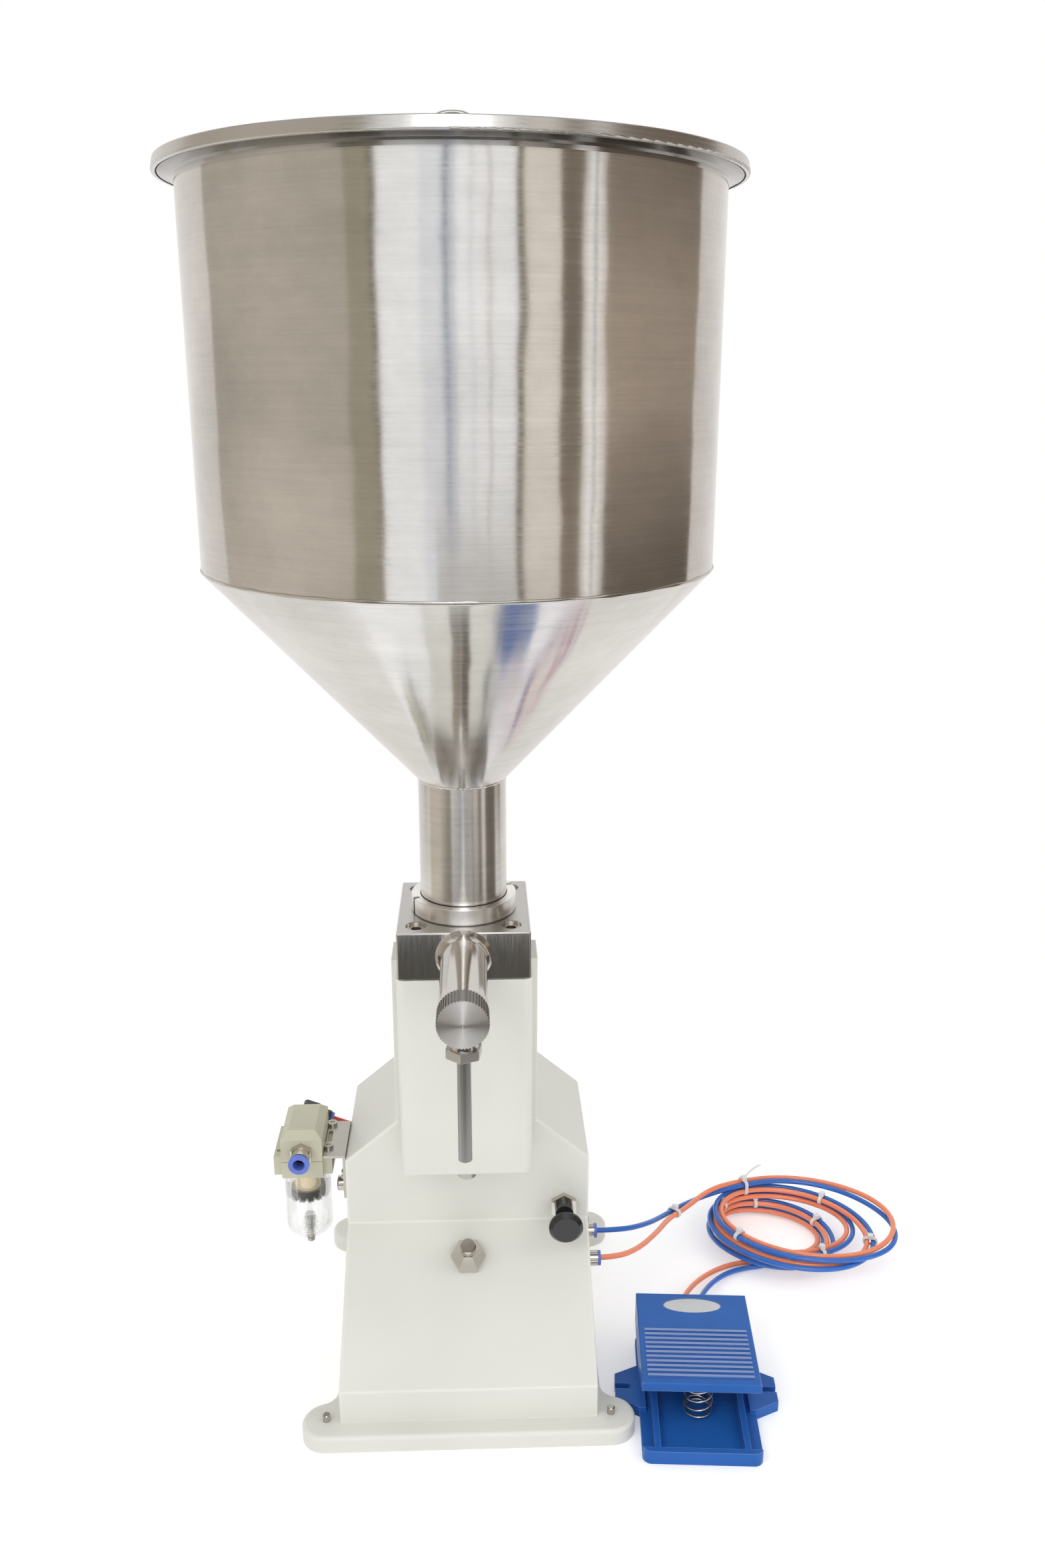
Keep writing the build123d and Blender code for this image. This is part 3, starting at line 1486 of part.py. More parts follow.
def pedal_ear(side):
    tip = side * ear_span / 2
    root = side * pedal_width / 2
    inner = root - side * tray_wall
    outline = Polygon(
        (inner, ear_offset - ear_root / 2),
        (root, ear_offset - ear_root / 2),
        (tip, ear_offset - ear_tip / 2),
        (tip, ear_offset + ear_tip / 2),
        (root, ear_offset + ear_root / 2),
        (inner, ear_offset + ear_root / 2),
        align=None,
    )
    ear = extrude(outline, ear_thickness, dir=(0, 0, 1))
    slot = Pos(tip, ear_offset) * Rectangle(2 * ear_slot_depth - ear_slot_width, ear_slot_width)
    slot += Pos(tip - side * (ear_slot_depth - ear_slot_width / 2), ear_offset) * Circle(ear_slot_width / 2)
    return ear - Pos(0, 0, -over) * extrude(slot, ear_thickness + 2 * over)


def hinge_lug(side):
    x0 = side * tray_rib_x - tray_wall / 2
    x1 = side * tray_rib_x + tray_wall / 2
    half = hinge_lug_width / 2
    lug = block(x0, x1, hinge_y - half, hinge_y + half, tray_thickness, hinge_height)
    lug += along_x(hinge_y, hinge_height, x0, x1, 2 * hinge_lug_radius)
    return lug - along_x(hinge_y, hinge_height, x0 - over, x1 + over, hinge_pin_diameter + 2 * thread_gap)


def make_pedal_base():
    front = -pedal_length / 2
    back = pedal_length / 2
    tray = extrude(RectangleRounded(pedal_width, pedal_length, pedal_corner_radius), tray_thickness)
    wall_outline = RectangleRounded(pedal_width, pedal_length, pedal_corner_radius)
    wall_outline &= Pos(0, front + tray_wall / 2) * Rectangle(pedal_width, tray_wall)
    tray += extrude(wall_outline, tray_wall_height)
    for side in (-1, 1):
        rib_x = side * tray_rib_x
        tray += block(rib_x - tray_wall / 2, rib_x + tray_wall / 2, front + tray_wall / 2, back - tray_wall,
                      tray_thickness - over, tray_wall_height)
        tray += pedal_ear(side)
        tray += hinge_lug(side)
    return pedal_place * tray


def treadle_skirt_outline():
    back = pedal_length / 2
    return Polygon(
        (treadle_front, treadle_top - treadle_lip),
        (treadle_front, treadle_top),
        (back, treadle_top),
        (back, treadle_skirt_bottom),
        (treadle_front + treadle_cut_length, treadle_skirt_bottom),
        align=None,
    )


def make_pedal_treadle():
    half = pedal_width / 2
    back = pedal_length / 2
    treadle = block(-half, half, treadle_front, back, treadle_under, treadle_top)
    lip_bottom = treadle_top - treadle_lip
    treadle += block(-half, half, treadle_front, treadle_front + treadle_skirt, lip_bottom, treadle_top)
    profile = extrude(Plane.YZ * treadle_skirt_outline(), treadle_skirt, dir=(1, 0, 0))
    treadle += Pos(half - treadle_skirt, 0, 0) * profile
    treadle += Pos(-half, 0, 0) * profile
    treadle = fillet(treadle.edges().group_by(Axis.Z)[-1], base_edge_radius / 2)
    rib_length = pedal_width - 2 * treadle_rib_margin
    for number in range(treadle_rib_count):
        y = treadle_front + treadle_rib_front + number * treadle_rib_pitch
        treadle += block(-rib_length / 2, rib_length / 2, y, y + treadle_rib_width, treadle_top - over,
                         treadle_top + treadle_rib_height)
    label = Ellipse(label_length / 2, label_depth / 2)
    label = Pos(0, back - label_setback, treadle_top - label_recess) * label
    treadle -= extrude(label, label_recess + over)
    pin_room = hinge_pin_diameter + 2 * running_gap
    treadle -= along_x(hinge_y, hinge_height, -half - over, half + over, pin_room)
    return pedal_place * treadle


def make_pedal_pin():
    half = pedal_width / 2
    inner = tray_rib_x - tray_wall
    pins = []
    for side in (-1, 1):
        pin = along_x(hinge_y, hinge_height, side * inner, side * half, hinge_pin_diameter)
        pins.append(pedal_place * pin)
    return group(pins)


def make_pedal_spring():
    height = treadle_under - tray_thickness - 2 * pedal_spring_gap
    form = spring(pedal_spring_diameter, pedal_spring_wire, height, pedal_spring_turns)
    return pedal_place * Pos(0, pedal_spring_y, tray_thickness + pedal_spring_gap) * form


def make_pedal_valve():
    half = pedal_valve_width / 2
    valve = block(-half, half, pedal_valve_front, pedal_valve_back, tray_thickness, pedal_valve_top)
    valve = chamfer(valve.edges().filter_by(Axis.Z), 2 * block_edge)
    hole = stem_diameter + 2 * running_gap
    valve -= upright(0, stem_y, pedal_valve_top - 2 * stem_depth + over, pedal_valve_top + over, hole)
    return pedal_place * valve


def make_pedal_valve_stem():
    top = treadle_under - stem_gap
    return pedal_place * upright(0, stem_y, pedal_valve_top - stem_depth, top, stem_diameter)


# Hoses

def coil_middle(turns):
    """Middle of the pair of hoses after a number of turns round the coil, from the knot."""
    total = coil_turns + coil_last_angle / 360
    share = turns / total
    angle = math.radians(coil_tie_angle - 360 * turns)
    fan = coil_first_fan + (coil_last_fan - coil_first_fan) * share + coil_sway * math.sin(math.pi * turns)
    fan = math.radians(fan)
    size = coil_first_radius + (coil_last_radius - coil_first_radius) * share
    size += coil_swell * math.cos(math.pi * turns) * (1 - share)
    across = size * (math.cos(fan) + math.cos(angle))
    along = size * (math.sin(fan) + math.sin(angle)) * coil_flatness
    lean = math.radians(coil_lean)
    away = (1 - math.cos(2 * math.pi * turns)) / 2
    lift = coil_layer * (total - turns) * (1 - coil_far_drop * away)
    settle = min(1.0, (total - turns) * 2)
    return Vector(
        coil_tie_x + across * math.cos(lean) - along * math.sin(lean),
        coil_tie_y + across * math.sin(lean) + along * math.cos(lean),
        coil_floor + lift * settle,
    )


def coil_state(turns, offset):
    """Point of one hose, set aside from the middle of the pair."""
    step = 0.001
    ahead = coil_middle(turns + step) - coil_middle(turns - step)
    aside = Vector(-ahead.Y, ahead.X, 0).normalized()
    return coil_middle(turns) + aside * offset


def coil_heading(turns, offset):
    step = 0.001
    ahead = coil_state(turns + step, offset)
    behind = coil_state(turns - step, offset)
    return (ahead - behind).normalized()


def coil_ends(offset):
    """First and last point of the coil, each one hose diameter out along a level heading."""
    total = coil_turns + coil_last_angle / 360
    ends = []
    for turns, sense in ((0, -1), (total, 1)):
        heading = coil_heading(turns, offset)
        level = Vector(heading.X, heading.Y, 0).normalized()
        ends.append((coil_state(turns, offset) + level * hose_diameter * sense, level))
    return ends


def coil_stations():
    """Places along the coil, a quarter turn apart."""
    total = coil_turns + coil_last_angle / 360
    count = round(total * 4)
    return [total * number / count for number in range(count + 1)]


def coil_path(offset):
    start, end = coil_ends(offset)
    stations = coil_stations()
    points = [coil_state(turns, offset) for turns in stations]
    headings = [coil_heading(turns, offset) for turns in stations]
    headings[0] = start[1]
    headings[-1] = end[1]
    edges = [Edge.make_line(start[0], points[0])]
    edges += wound_path(points, headings)
    edges.append(Edge.make_line(points[-1], end[0]))
    return Wire(edges)


def corner_radii(points):
    """Largest tangent arc that each corner of a route has room for."""
    radii = []
    for number in range(1, len(points) - 1):
        before = Vector(points[number]) - Vector(points[number - 1])
        after = Vector(points[number + 1]) - Vector(points[number])
        turn = math.radians(before.get_angle(after))
        radii.append(corner_share * min(before.length, after.length) / math.tan(turn / 2))
    return radii


def routed_path(points):
    return FilletPolyline(*points, radius=corner_radii(points))


def lead_points(y, middle, offset):
    """Route from the housing wall through the lead's tie to the coil."""
    start = Vector(housing_half, y, bulkhead_height)
    heading = Vector(*lead_tie_heading).normalized()
    aside = Vector(-heading.Y, heading.X, 0).normalized() * offset
    tie = Vector(*lead_tie) + aside
    end, level = coil_ends(offset)[0]
    return [
        start,
        start + Vector(hose_start_run, 0, 0),
        Vector(*middle),
        tie - heading * hose_tie_run,
        tie + heading * hose_tie_run,
        end - level * coil_run,
        end,
    ]


def tail_points(x, middles, offset):
    """Route from the coil to the foot valve."""
    start, level = coil_ends(offset)[1]
    port = pedal_place * Pos(x, pedal_valve_back, pedal_port_height)
    far = pedal_place * Pos(x, pedal_valve_back + hose_end_run, pedal_port_height)
    points = [start, start + level * coil_end_run]
    points += [Vector(*middle) for middle in middles]
    return points + [far.position, port.position]


def make_hose(name, y, middle, x, middles, offset):
    lead = routed_path(lead_points(y, middle, offset))
    tail = routed_path(tail_points(x, middles, offset))
    coil = coil_path(offset)
    section = math.pi * hose_diameter ** 2 / 4
    for part, path in (("lead", lead), ("tail", tail), ("coil", coil)):
        solid = swept(path, hose_diameter)
        share = solid.volume / (section * path.length)
        print(name, part, "length", round(path.length, 1), "volume share", round(share, 4))
    print(name, "bend radii", [round(value, 1) for value in corner_radii(lead_points(y, middle, offset))],
          [round(value, 1) for value in corner_radii(tail_points(x, middles, offset))])
    save(name + "_hose_runs", group([swept(lead, hose_diameter), swept(tail, hose_diameter)]))
    save(name + "_hose_coil", swept(coil, hose_diameter))


def cable_tie(place, heading, width, height, band):
    """Strap round a bundle of hoses, with its head on top."""
    level = Vector(heading.X, heading.Y, 0).normalized()
    frame = Plane(origin=place, x_dir=(-level.Y, level.X, 0), z_dir=heading)
    inner = RectangleRounded(width, height, hose_diameter / 2)
    grow = 2 * tie_thickness
    outer = RectangleRounded(width + grow, height + grow, hose_diameter / 2 + tie_thickness)
    strap = extrude(outer - inner, band / 2, both=True)
    head = Pos(0, (height + tie_thickness + tie_head) / 2, 0) * Box(tie_head, tie_head, tie_width)
    return frame * (strap + head)


def make_cable_ties():
    room = hose_diameter + 2 * tie_gap
    pair = hose_pair_pitch + room
    ties = [cable_tie(Vector(*lead_tie), Vector(*lead_tie_heading).normalized(), pair, room, tie_width)]
    for quarter in coil_tie_quarters:
        turns = coil_stations()[quarter]
        ties.append(cable_tie(coil_state(turns, 0), coil_heading(turns, 0), pair, room, tie_width))
    knot = (coil_state(0, 0) + coil_state(coil_turns, 0)) * 0.5
    heading = coil_ends(0)[0][1]
    height = coil_state(0, 0).Z - coil_state(coil_turns, 0).Z + room + 4 * tie_gap
    ties.append(cable_tie(knot, heading, knot_width, height, knot_band))
    return group(ties)


def print_coil_gap():
    """Least gap between any two strands of the pair, from points along both."""
    per_turn = 72
    total = coil_turns + coil_last_angle / 360
    count = round(total * per_turn)
    strands = []
    for offset in (-hose_pair_pitch / 2, hose_pair_pitch / 2):
        strands.append([coil_state(total * number / count, offset) for number in range(count + 1)])
    least = hopper_diameter
    for number in range(count + 1):
        for other in range(number, count + 1):
            if other - number > per_turn // 2:
                least = min(least, (strands[0][number] - strands[0][other]).length)
                least = min(least, (strands[1][number] - strands[1][other]).length)
            least = min(least, (strands[0][number] - strands[1][other]).length)
            least = min(least, (strands[1][number] - strands[0][other]).length)
    print("least gap in the coil", round(least - hose_diameter, 2))


makers = {
    "base_plate": make_base_plate,
    "rubber_feet": make_rubber_feet,
    "foot_bolts": make_foot_bolts,
    "main_housing": make_main_housing,
    "small_screws": make_small_screws,
    "tower_frame": make_tower_frame,
    "front_cover": make_front_cover,
    "rear_cover": make_rear_cover,
    "valve_block": make_valve_block,
    "outlet_tube": make_outlet_tube,
    "block_screws": make_block_screws,
    "lock_ring": make_lock_ring,
    "hopper": make_hopper,
    "hopper_cone": make_hopper_cone,
    "hopper_neck": make_hopper_neck,
    "hopper_lid": make_hopper_lid,
    "lid_knob": make_lid_knob,
    "outlet_cap": make_outlet_cap,
    "outlet_valve": make_outlet_valve,
    "outlet_spring": make_outlet_spring,
    "nozzle_nut": make_nozzle_nut,
    "nozzle_tube": make_nozzle_tube,
    "inlet_valve": make_inlet_valve,
    "inlet_spring": make_inlet_spring,
    "filling_cylinder": make_filling_cylinder,
    "pistons": make_pistons,
    "piston_seals": make_piston_seals,
    "piston_rod": make_piston_rod,
    "air_cylinder": make_air_cylinder,
    "stroke_arm": make_stroke_arm,
    "stroke_screw": make_stroke_screw,
    "stop_nut": make_stop_nut,
    "reversing_valve": make_reversing_valve,
    "pull_valve_body": make_pull_valve_body,
    "pull_valve_nut": make_pull_valve_nut,
    "pull_valve_knob": make_pull_valve_knob,
    "flow_valve_body": make_flow_valve_body,
    "flow_valve_screw": make_flow_valve_screw,
    "filter_bracket": make_filter_bracket,
    "filter_head": make_filter_head,
    "filter_bowl": make_filter_bowl,
    "filter_element": make_filter_element,
    "filter_baffle": make_filter_baffle,
    "drain_stem": make_drain_stem,
    "air_fittings": make_air_fittings,
    "inlet_collet": make_inlet_collet,
    "elbow_fitting": make_elbow_fitting,
    "supply_tube": make_supply_tube,
    "hose_collets": make_hose_collets,
    "pedal_base": make_pedal_base,
    "pedal_treadle": make_pedal_treadle,
    "pedal_pin": make_pedal_pin,
    "pedal_spring": make_pedal_spring,
    "pedal_valve": make_pedal_valve,
    "pedal_valve_stem": make_pedal_valve_stem,
    "cable_ties": make_cable_ties,
}

os.makedirs("parts", exist_ok=True)
for node, maker in makers.items():
    save(node, maker())
orange_port, blue_port = pedal_ports()
half_pitch = hose_pair_pitch / 2
make_hose("blue", blue_bulkhead_y, blue_lead_middle, blue_port, blue_tail_points, half_pitch)
make_hose("orange", orange_bulkhead_y, orange_lead_middle, orange_port, orange_tail_points, -half_pitch)
print_coil_gap()
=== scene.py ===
import json
import math

import bmesh
import bpy
from mathutils import Matrix, Vector


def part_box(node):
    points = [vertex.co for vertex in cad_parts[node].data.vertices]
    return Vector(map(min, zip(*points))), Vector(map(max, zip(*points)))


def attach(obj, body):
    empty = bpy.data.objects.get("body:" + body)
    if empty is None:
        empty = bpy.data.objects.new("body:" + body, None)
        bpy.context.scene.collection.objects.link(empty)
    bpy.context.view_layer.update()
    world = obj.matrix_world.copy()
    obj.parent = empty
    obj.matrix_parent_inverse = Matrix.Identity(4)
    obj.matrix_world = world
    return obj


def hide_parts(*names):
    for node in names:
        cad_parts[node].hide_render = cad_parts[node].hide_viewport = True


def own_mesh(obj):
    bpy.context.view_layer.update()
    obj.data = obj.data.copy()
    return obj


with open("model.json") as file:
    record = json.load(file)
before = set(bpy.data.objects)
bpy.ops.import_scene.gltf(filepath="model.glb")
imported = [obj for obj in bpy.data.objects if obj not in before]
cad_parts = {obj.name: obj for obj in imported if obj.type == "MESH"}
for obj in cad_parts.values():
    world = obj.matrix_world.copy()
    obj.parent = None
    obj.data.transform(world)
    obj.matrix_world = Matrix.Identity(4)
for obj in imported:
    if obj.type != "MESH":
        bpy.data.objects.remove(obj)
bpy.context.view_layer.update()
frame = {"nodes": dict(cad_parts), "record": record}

# Looks of the air driven filling machine. Metres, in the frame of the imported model.

nodes = frame["nodes"]
mm = 0.001

# Camera, found from the photo's edges
camera_place = (0.00981, -0.80985, 0.66972)
camera_pitch = 17.26
camera_yaw = 2.06
focal_pixels = 1969.69
picture_height = 2352
sensor = 36.0

# Foot valve's place, millimetres and degrees
pedal_x = 154.5
pedal_y = -81.0
pedal_turn = -4.0
tray_thickness = 5.0
treadle_top = 42.0
treadle_rib_height = 0.8
pedal_port_height = 16.0
pedal_port_spread = 13.0
pedal_valve_back = 52.0
label_y = 44.0
label_length = 41.0
label_depth = 15.0
label_recess = 0.5
label_clearance = 0.8
label_thickness = 0.3
label_lift = 0.05

# Middle of the outlet tube and depth of the hopper's lip, millimetres
outlet_height = 317.25
lip_drop = 5.4

# Weld beads, millimetres and degrees
weld_half_width = 1.1
weld_height = 0.55
weld_sunk = 0.1
weld_lean = 22.0

# Ripples of the weld beads: share of the size, waves round the hopper, start
weld_ripples = ((0.18, 37, 0.0), (0.12, 23, 1.3))

# Springs: outer diameter, wire and height at rest in millimetres, and turns
pedal_spring = (19.5, 1.6, 32.6, 6)
inlet_spring = (14.0, 1.2, 10.3, 4)
outlet_spring = (15.0, 1.4, 55.3, 11)

# Where the springs stand, millimetres
pedal_spring_y = -14.5
pedal_spring_gap = 0.2
inlet_spring_foot = 305.05
outlet_spring_foot = -103.95

# Hoses, millimetres and degrees; steps along the coil in turns
hose_diameter = 4.0
hose_pair_pitch = 5.0
hose_end_run = 24.0
hose_tie_run = 12.0
housing_half = 85.0
bulkhead_height = 60.0
blue_bulkhead_y = 26.0
orange_bulkhead_y = -6.0
coil_tie_x = 221.0
coil_tie_y = 126.0
coil_floor = 2.3
coil_layer = 5.7
coil_flatness = 0.72
coil_lean = -18.0
coil_turns = 4
coil_tie_angle = 137.0
coil_last_angle = 182.0
coil_first_radius = 71.0
coil_last_radius = 42.0
coil_first_fan = -34.0
coil_last_fan = -50.0
coil_sway = 4.0
coil_swell = 3.0
coil_far_drop = 0.08
coil_settle = 0.5
coil_step = 0.001
coil_run = 30.0
coil_end_run = 25.0
coil_points_per_turn = 16
coil_wander = [(0, 0), (4, -7), (-6, 6), (-3, -8), (0, 0)]
roll_start = 0.1
roll_stop = 0.55
lead_tie = Vector((162.0, 77.0, 38.0))
lead_tie_heading = Vector((0.66, 0.73, -0.16)).normalized()
blue_lead_points = [Vector((113.0, 26.0, 59.5)), Vector((136.0, 46.0, 50.0))]
orange_lead_points = [Vector((105.0, -6.0, 60.0)), Vector((124.0, 10.0, 54.0)), Vector((144.0, 42.0, 46.0))]
blue_tail_points = [Vector((206.0, 51.0, 3.0)), Vector((183.0, 30.0, 7.0))]
orange_tail_points = [Vector((203.0, 58.0, 3.0)), Vector((173.0, 34.0, 7.0))]

# Cable ties, millimetres; coil ties count the coil's control points from the knot
tie_width = 2.8
tie_thickness = 0.9
tie_gap = 0.3
tie_edge = 0.2
tie_head = 4.2
tie_head_width = tie_width + 1.2
tie_head_height = tie_head * 0.7
coil_tie_numbers = [12, 19, 22, 31, 40, 49, 52]
knot_tail = 26.0
tail_start = tie_head * 0.35
tail_width = tie_width * 0.6
tail_thickness = tie_thickness * 0.7
tail_arch = 0.3
tail_slant = 0.5

# Floor, light and reflected cards, metres
floor_reach = 12.0
floor_shadow_reach = 0.3
floor_white_reach = 0.9
floor_colour = (0.93, 0.93, 0.93)
floor_roughness = 0.7
floor_glow = 0.3
world_light = 0.72
card_radius = 2.0
card_near = 0.45
card_level = 0.004
card_top = 2.6
card_fade_foot = 0.3
card_fade_top = 1.1
cards_per_row = 12
rear_card_level = 0.006
front_card_level = 0.008


def place_object(name, data):
    """New object in the scene."""
    piece = bpy.data.objects.new(name, data)
    bpy.context.collection.objects.link(piece)
    return piece


# Camera

def make_camera():
    data = bpy.data.cameras.new("photo_camera")
    data.sensor_fit = "VERTICAL"
    data.sensor_height = sensor
    data.lens = focal_pixels / picture_height * sensor
    data.clip_start = 0.01
    data.clip_end = 50.0
    camera = place_object("photo_camera", data)
    camera.location = camera_place
    camera.rotation_euler = (math.radians(90 - camera_pitch), 0, math.radians(-camera_yaw))
    bpy.context.scene.camera = camera


# Hoses

def pedal_point(x, y, z):
    """Point of the foot valve in the model's frame, millimetres."""
    turn = Matrix.Rotation(math.radians(pedal_turn), 3, "Z")
    return turn @ Vector((x, y, z)) + Vector((pedal_x, pedal_y, 0))


def coil_total():
    """Turns of the coil, from the knot to its last end."""
    return coil_turns + coil_last_angle / 360


def coil_middle(turns):
    """Middle of the pair of hoses after a number of turns round the coil, from the knot.

    Each loose turn wanders off its own way and comes back at the knot.
    """
    total = coil_total()
    share = turns / total
    angle = math.radians(coil_tie_angle - 360 * turns)
    fan = coil_first_fan + (coil_last_fan - coil_first_fan) * share + coil_sway * math.sin(math.pi * turns)
    fan = math.radians(fan)
    size = coil_first_radius + (coil_last_radius - coil_first_radius) * share
    size += coil_swell * math.cos(math.pi * turns) * (1 - share)
    across = size * (math.cos(fan) + math.cos(angle))
    along = size * (math.sin(fan) + math.sin(angle)) * coil_flatness
    lean = math.radians(coil_lean)
    away = (1 - math.cos(2 * math.pi * turns)) / 2
    lift = coil_layer * (total - turns) * (1 - coil_far_drop * away)
    settle = min(1.0, (total - turns) / coil_settle)
    wander = Vector(coil_wander[max(0, math.floor(turns))]) * away * away
    return Vector((
        coil_tie_x + across * math.cos(lean) - along * math.sin(lean) + wander.x,
        coil_tie_y + across * math.sin(lean) + along * math.cos(lean) + wander.y,
        coil_floor + lift * settle,
    ))


def coil_point(turns, offset):
    """Point of one hose, set aside from the middle of the pair.

    The orange hose starts on the outside of the first turn and rolls over the blue one to the inside.
    """
    ahead = coil_middle(turns + coil_step) - coil_middle(turns - coil_step)
    aside = Vector((-ahead.y, ahead.x, 0)).normalized()
    share = min(1.0, max(0.0, (turns - roll_start) / (roll_stop - roll_start)))
    roll = math.pi * (1 - share * share * (3 - 2 * share))
    return coil_middle(turns) + aside * offset * math.cos(roll) - Vector((0, 0, offset * math.sin(roll)))


def coil_end(turns, sense, offset):
    """End of the coil one hose diameter out, and the level heading there."""
    heading = coil_point(turns + coil_step, offset) - coil_point(turns - coil_step, offset)
    heading.z = 0
    heading.normalize()
    return coil_point(turns, offset) + heading * hose_diameter * sense, heading


def coil_controls(offset):
    """Control points of one hose's turns."""
    count = round(coil_total() * coil_points_per_turn)
    return [coil_point(coil_total() * number / count, offset) for number in range(count + 1)]


def hose_points(y, lead_points, x, tail_middles, offset):
    """Control points of a whole hose, from the housing wall to the foot valve."""
    start = Vector((housing_half, y, bulkhead_height))
    aside = Vector((-lead_tie_heading.y, lead_tie_heading.x, 0)).normalized() * offset
    tie = lead_tie + aside
    coil_start, heading = coil_end(0, -1, 0)
    points = [start]
    points += lead_points
    points += [
        tie - lead_tie_heading * hose_tie_run,
        tie + lead_tie_heading * hose_tie_run,
        coil_start - heading * coil_run - Vector((0, 0, offset)),
    ]
    points += coil_controls(offset)
    coil_stop, heading = coil_end(coil_total(), 1, offset)
    points.append(coil_stop + heading * coil_end_run)
    points += tail_middles
    points.append(pedal_point(x, pedal_valve_back + hose_end_run, pedal_port_height))
    points.append(pedal_point(x, pedal_valve_back, pedal_port_height))
    return [point * mm for point in points]


def smooth_line(name, points, radius, sides, steps):
    """Round line along a smooth spline whose control points are given."""
    data = bpy.data.curves.new(name, "CURVE")
    data.dimensions = "3D"
    data.bevel_depth = radius
    data.bevel_resolution = sides
    data.resolution_u = steps
    data.use_fill_caps = True
    spline = data.splines.new("NURBS")
    spline.points.add(len(points) - 1)
    for place, point in zip(spline.points, points):
        place.co = (*point, 1.0)
    spline.order_u = 3
    spline.use_endpoint_u = True
    return data


def make_hose(name, points, material, ties):
    """Hose along control points, in place of the solids of its runs and its coil."""
    data = smooth_line(name, points, hose_diameter / 2 * mm, sides=6, steps=8)
    data.materials.append(material)
    hose = place_object(name, data)
    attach(hose, "machine")
    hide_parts(name + "_runs", name + "_coil")


# Node helpers

class Paint:
    """A material under construction, with short ways to add nodes."""

    def __init__(self, name):
        self.material = bpy.data.materials.new(name)
        self.material.use_nodes = True
        self.tree = self.material.node_tree
        self.shader = self.tree.nodes["Principled BSDF"]
        self.coordinates = self.tree.nodes.new("ShaderNodeTexCoord").outputs["Object"]

    def set(self, **values):
        for name, value in values.items():
            self.shader.inputs[name.replace("_", " ")].default_value = value

    def link(self, output, name):
        self.tree.links.new(output, self.shader.inputs[name])

    def node(self, kind):
        return self.tree.nodes.new(kind)

    def noise(self, scale, stretch=(1, 1, 1), detail=4.0, roughness=0.55):
        mapping = self.node("ShaderNodeMapping")
        mapping.inputs["Scale"].default_value = stretch
        texture = self.node("ShaderNodeTexNoise")
        texture.inputs["Scale"].default_value = scale
        texture.inputs["Detail"].default_value = detail
        texture.inputs["Roughness"].default_value = roughness
        self.tree.links.new(self.coordinates, mapping.inputs["Vector"])
        self.tree.links.new(mapping.outputs["Vector"], texture.inputs["Vector"])
        return texture.outputs["Fac"]

    def spread(self, value, low, high, start=0.3, stop=0.7):
        """Value that goes from low to high as another goes from start to stop."""
        remap = self.node("ShaderNodeMapRange")
        remap.inputs["From Min"].default_value = start
        remap.inputs["From Max"].default_value = stop
        remap.inputs["To Min"].default_value = low
        remap.inputs["To Max"].default_value = high
        self.tree.links.new(value, remap.inputs["Value"])
        return remap.outputs["Result"]

    def patches(self, scale, detail=4.0):
        """Soft patches that go from nought to one."""
        return self.spread(self.noise(scale, detail=detail), 0.0, 1.0)

    def mix(self, factor, first, second):
        blend = self.node("ShaderNodeMix")
        blend.data_type = "RGBA"
        blend.inputs["A"].default_value = (*first, 1)
        blend.inputs["B"].default_value = (*second, 1)
        self.tree.links.new(factor, blend.inputs["Factor"])
        return blend.outputs["Result"]

    def tint(self, factor, first, second):
        """First colour, turned towards a fixed second one."""
        blend = self.node("ShaderNodeMix")
        blend.data_type = "RGBA"
        blend.inputs["B"].default_value = (*second, 1)
        self.tree.links.new(first, blend.inputs["A"])
        self.tree.links.new(factor, blend.inputs["Factor"])
        return blend.outputs["Result"]

    def edges(self, width, bend):
        """One along edges that turn by the bend or more, in degrees, nought on flat faces."""
        rounded = self.node("ShaderNodeBevel")
        rounded.inputs["Radius"].default_value = width
        turn = self.node("ShaderNodeVectorMath")
        turn.operation = "DOT_PRODUCT"
        self.tree.links.new(rounded.outputs["Normal"], turn.inputs[0])
        self.tree.links.new(self.node("ShaderNodeNewGeometry").outputs["Normal"], turn.inputs[1])
        flat = 0.9995
        return self.spread(turn.outputs["Value"], 0.0, 1.0, flat, math.cos(math.radians(bend / 2)))

    def height(self):
        split = self.node("ShaderNodeSeparateXYZ")
        self.tree.links.new(self.coordinates, split.inputs[0])
        return split.outputs["Z"]

    def facing(self, axis):
        """How far the surface faces along an axis, from minus one to one."""
        split = self.node("ShaderNodeSeparateXYZ")
        self.tree.links.new(self.node("ShaderNodeTexCoord").outputs["Normal"], split.inputs[0])
        return split.outputs[axis]

    def add(self, first, second, share):
        """First value plus a share of the second."""
        total = self.node("ShaderNodeMath")
        total.operation = "MULTIPLY_ADD"
        total.inputs[1].default_value = share
        self.tree.links.new(second, total.inputs[0])
        self.tree.links.new(first, total.inputs[2])
        return total.outputs[0]

    def roughen(self, value, roughness):
        """Roughness between a low and a high end, led by a noise."""
        self.link(self.spread(value, *roughness), "Roughness")

    def bump(self, height, strength, distance):
        raised = self.node("ShaderNodeBump")
        raised.inputs["Strength"].default_value = strength
        raised.inputs["Distance"].default_value = distance
        self.tree.links.new(height, raised.inputs["Height"])
        self.link(raised.outputs["Normal"], "Normal")


def shade(colour, amount):
    return tuple(min(1.0, channel * amount) for channel in colour)


# Materials. A roughness is given by its low and its high end.

cream = (0.76, 0.755, 0.70)
steel = (0.77, 0.755, 0.735)
# Paler copy of the steel: painted light, for the lock ring's bright front.
steel_with_painted_light = shade(steel, 1.2)
black = (0.018, 0.018, 0.019)
khaki = (0.59, 0.575, 0.445)
pedal_blue = (0.018, 0.125, 0.46)
pedal_roughness = (0.28, 0.4)
pedal_grain = (700.0, 0.2)
pedal_wear_and_highlight = 0.25

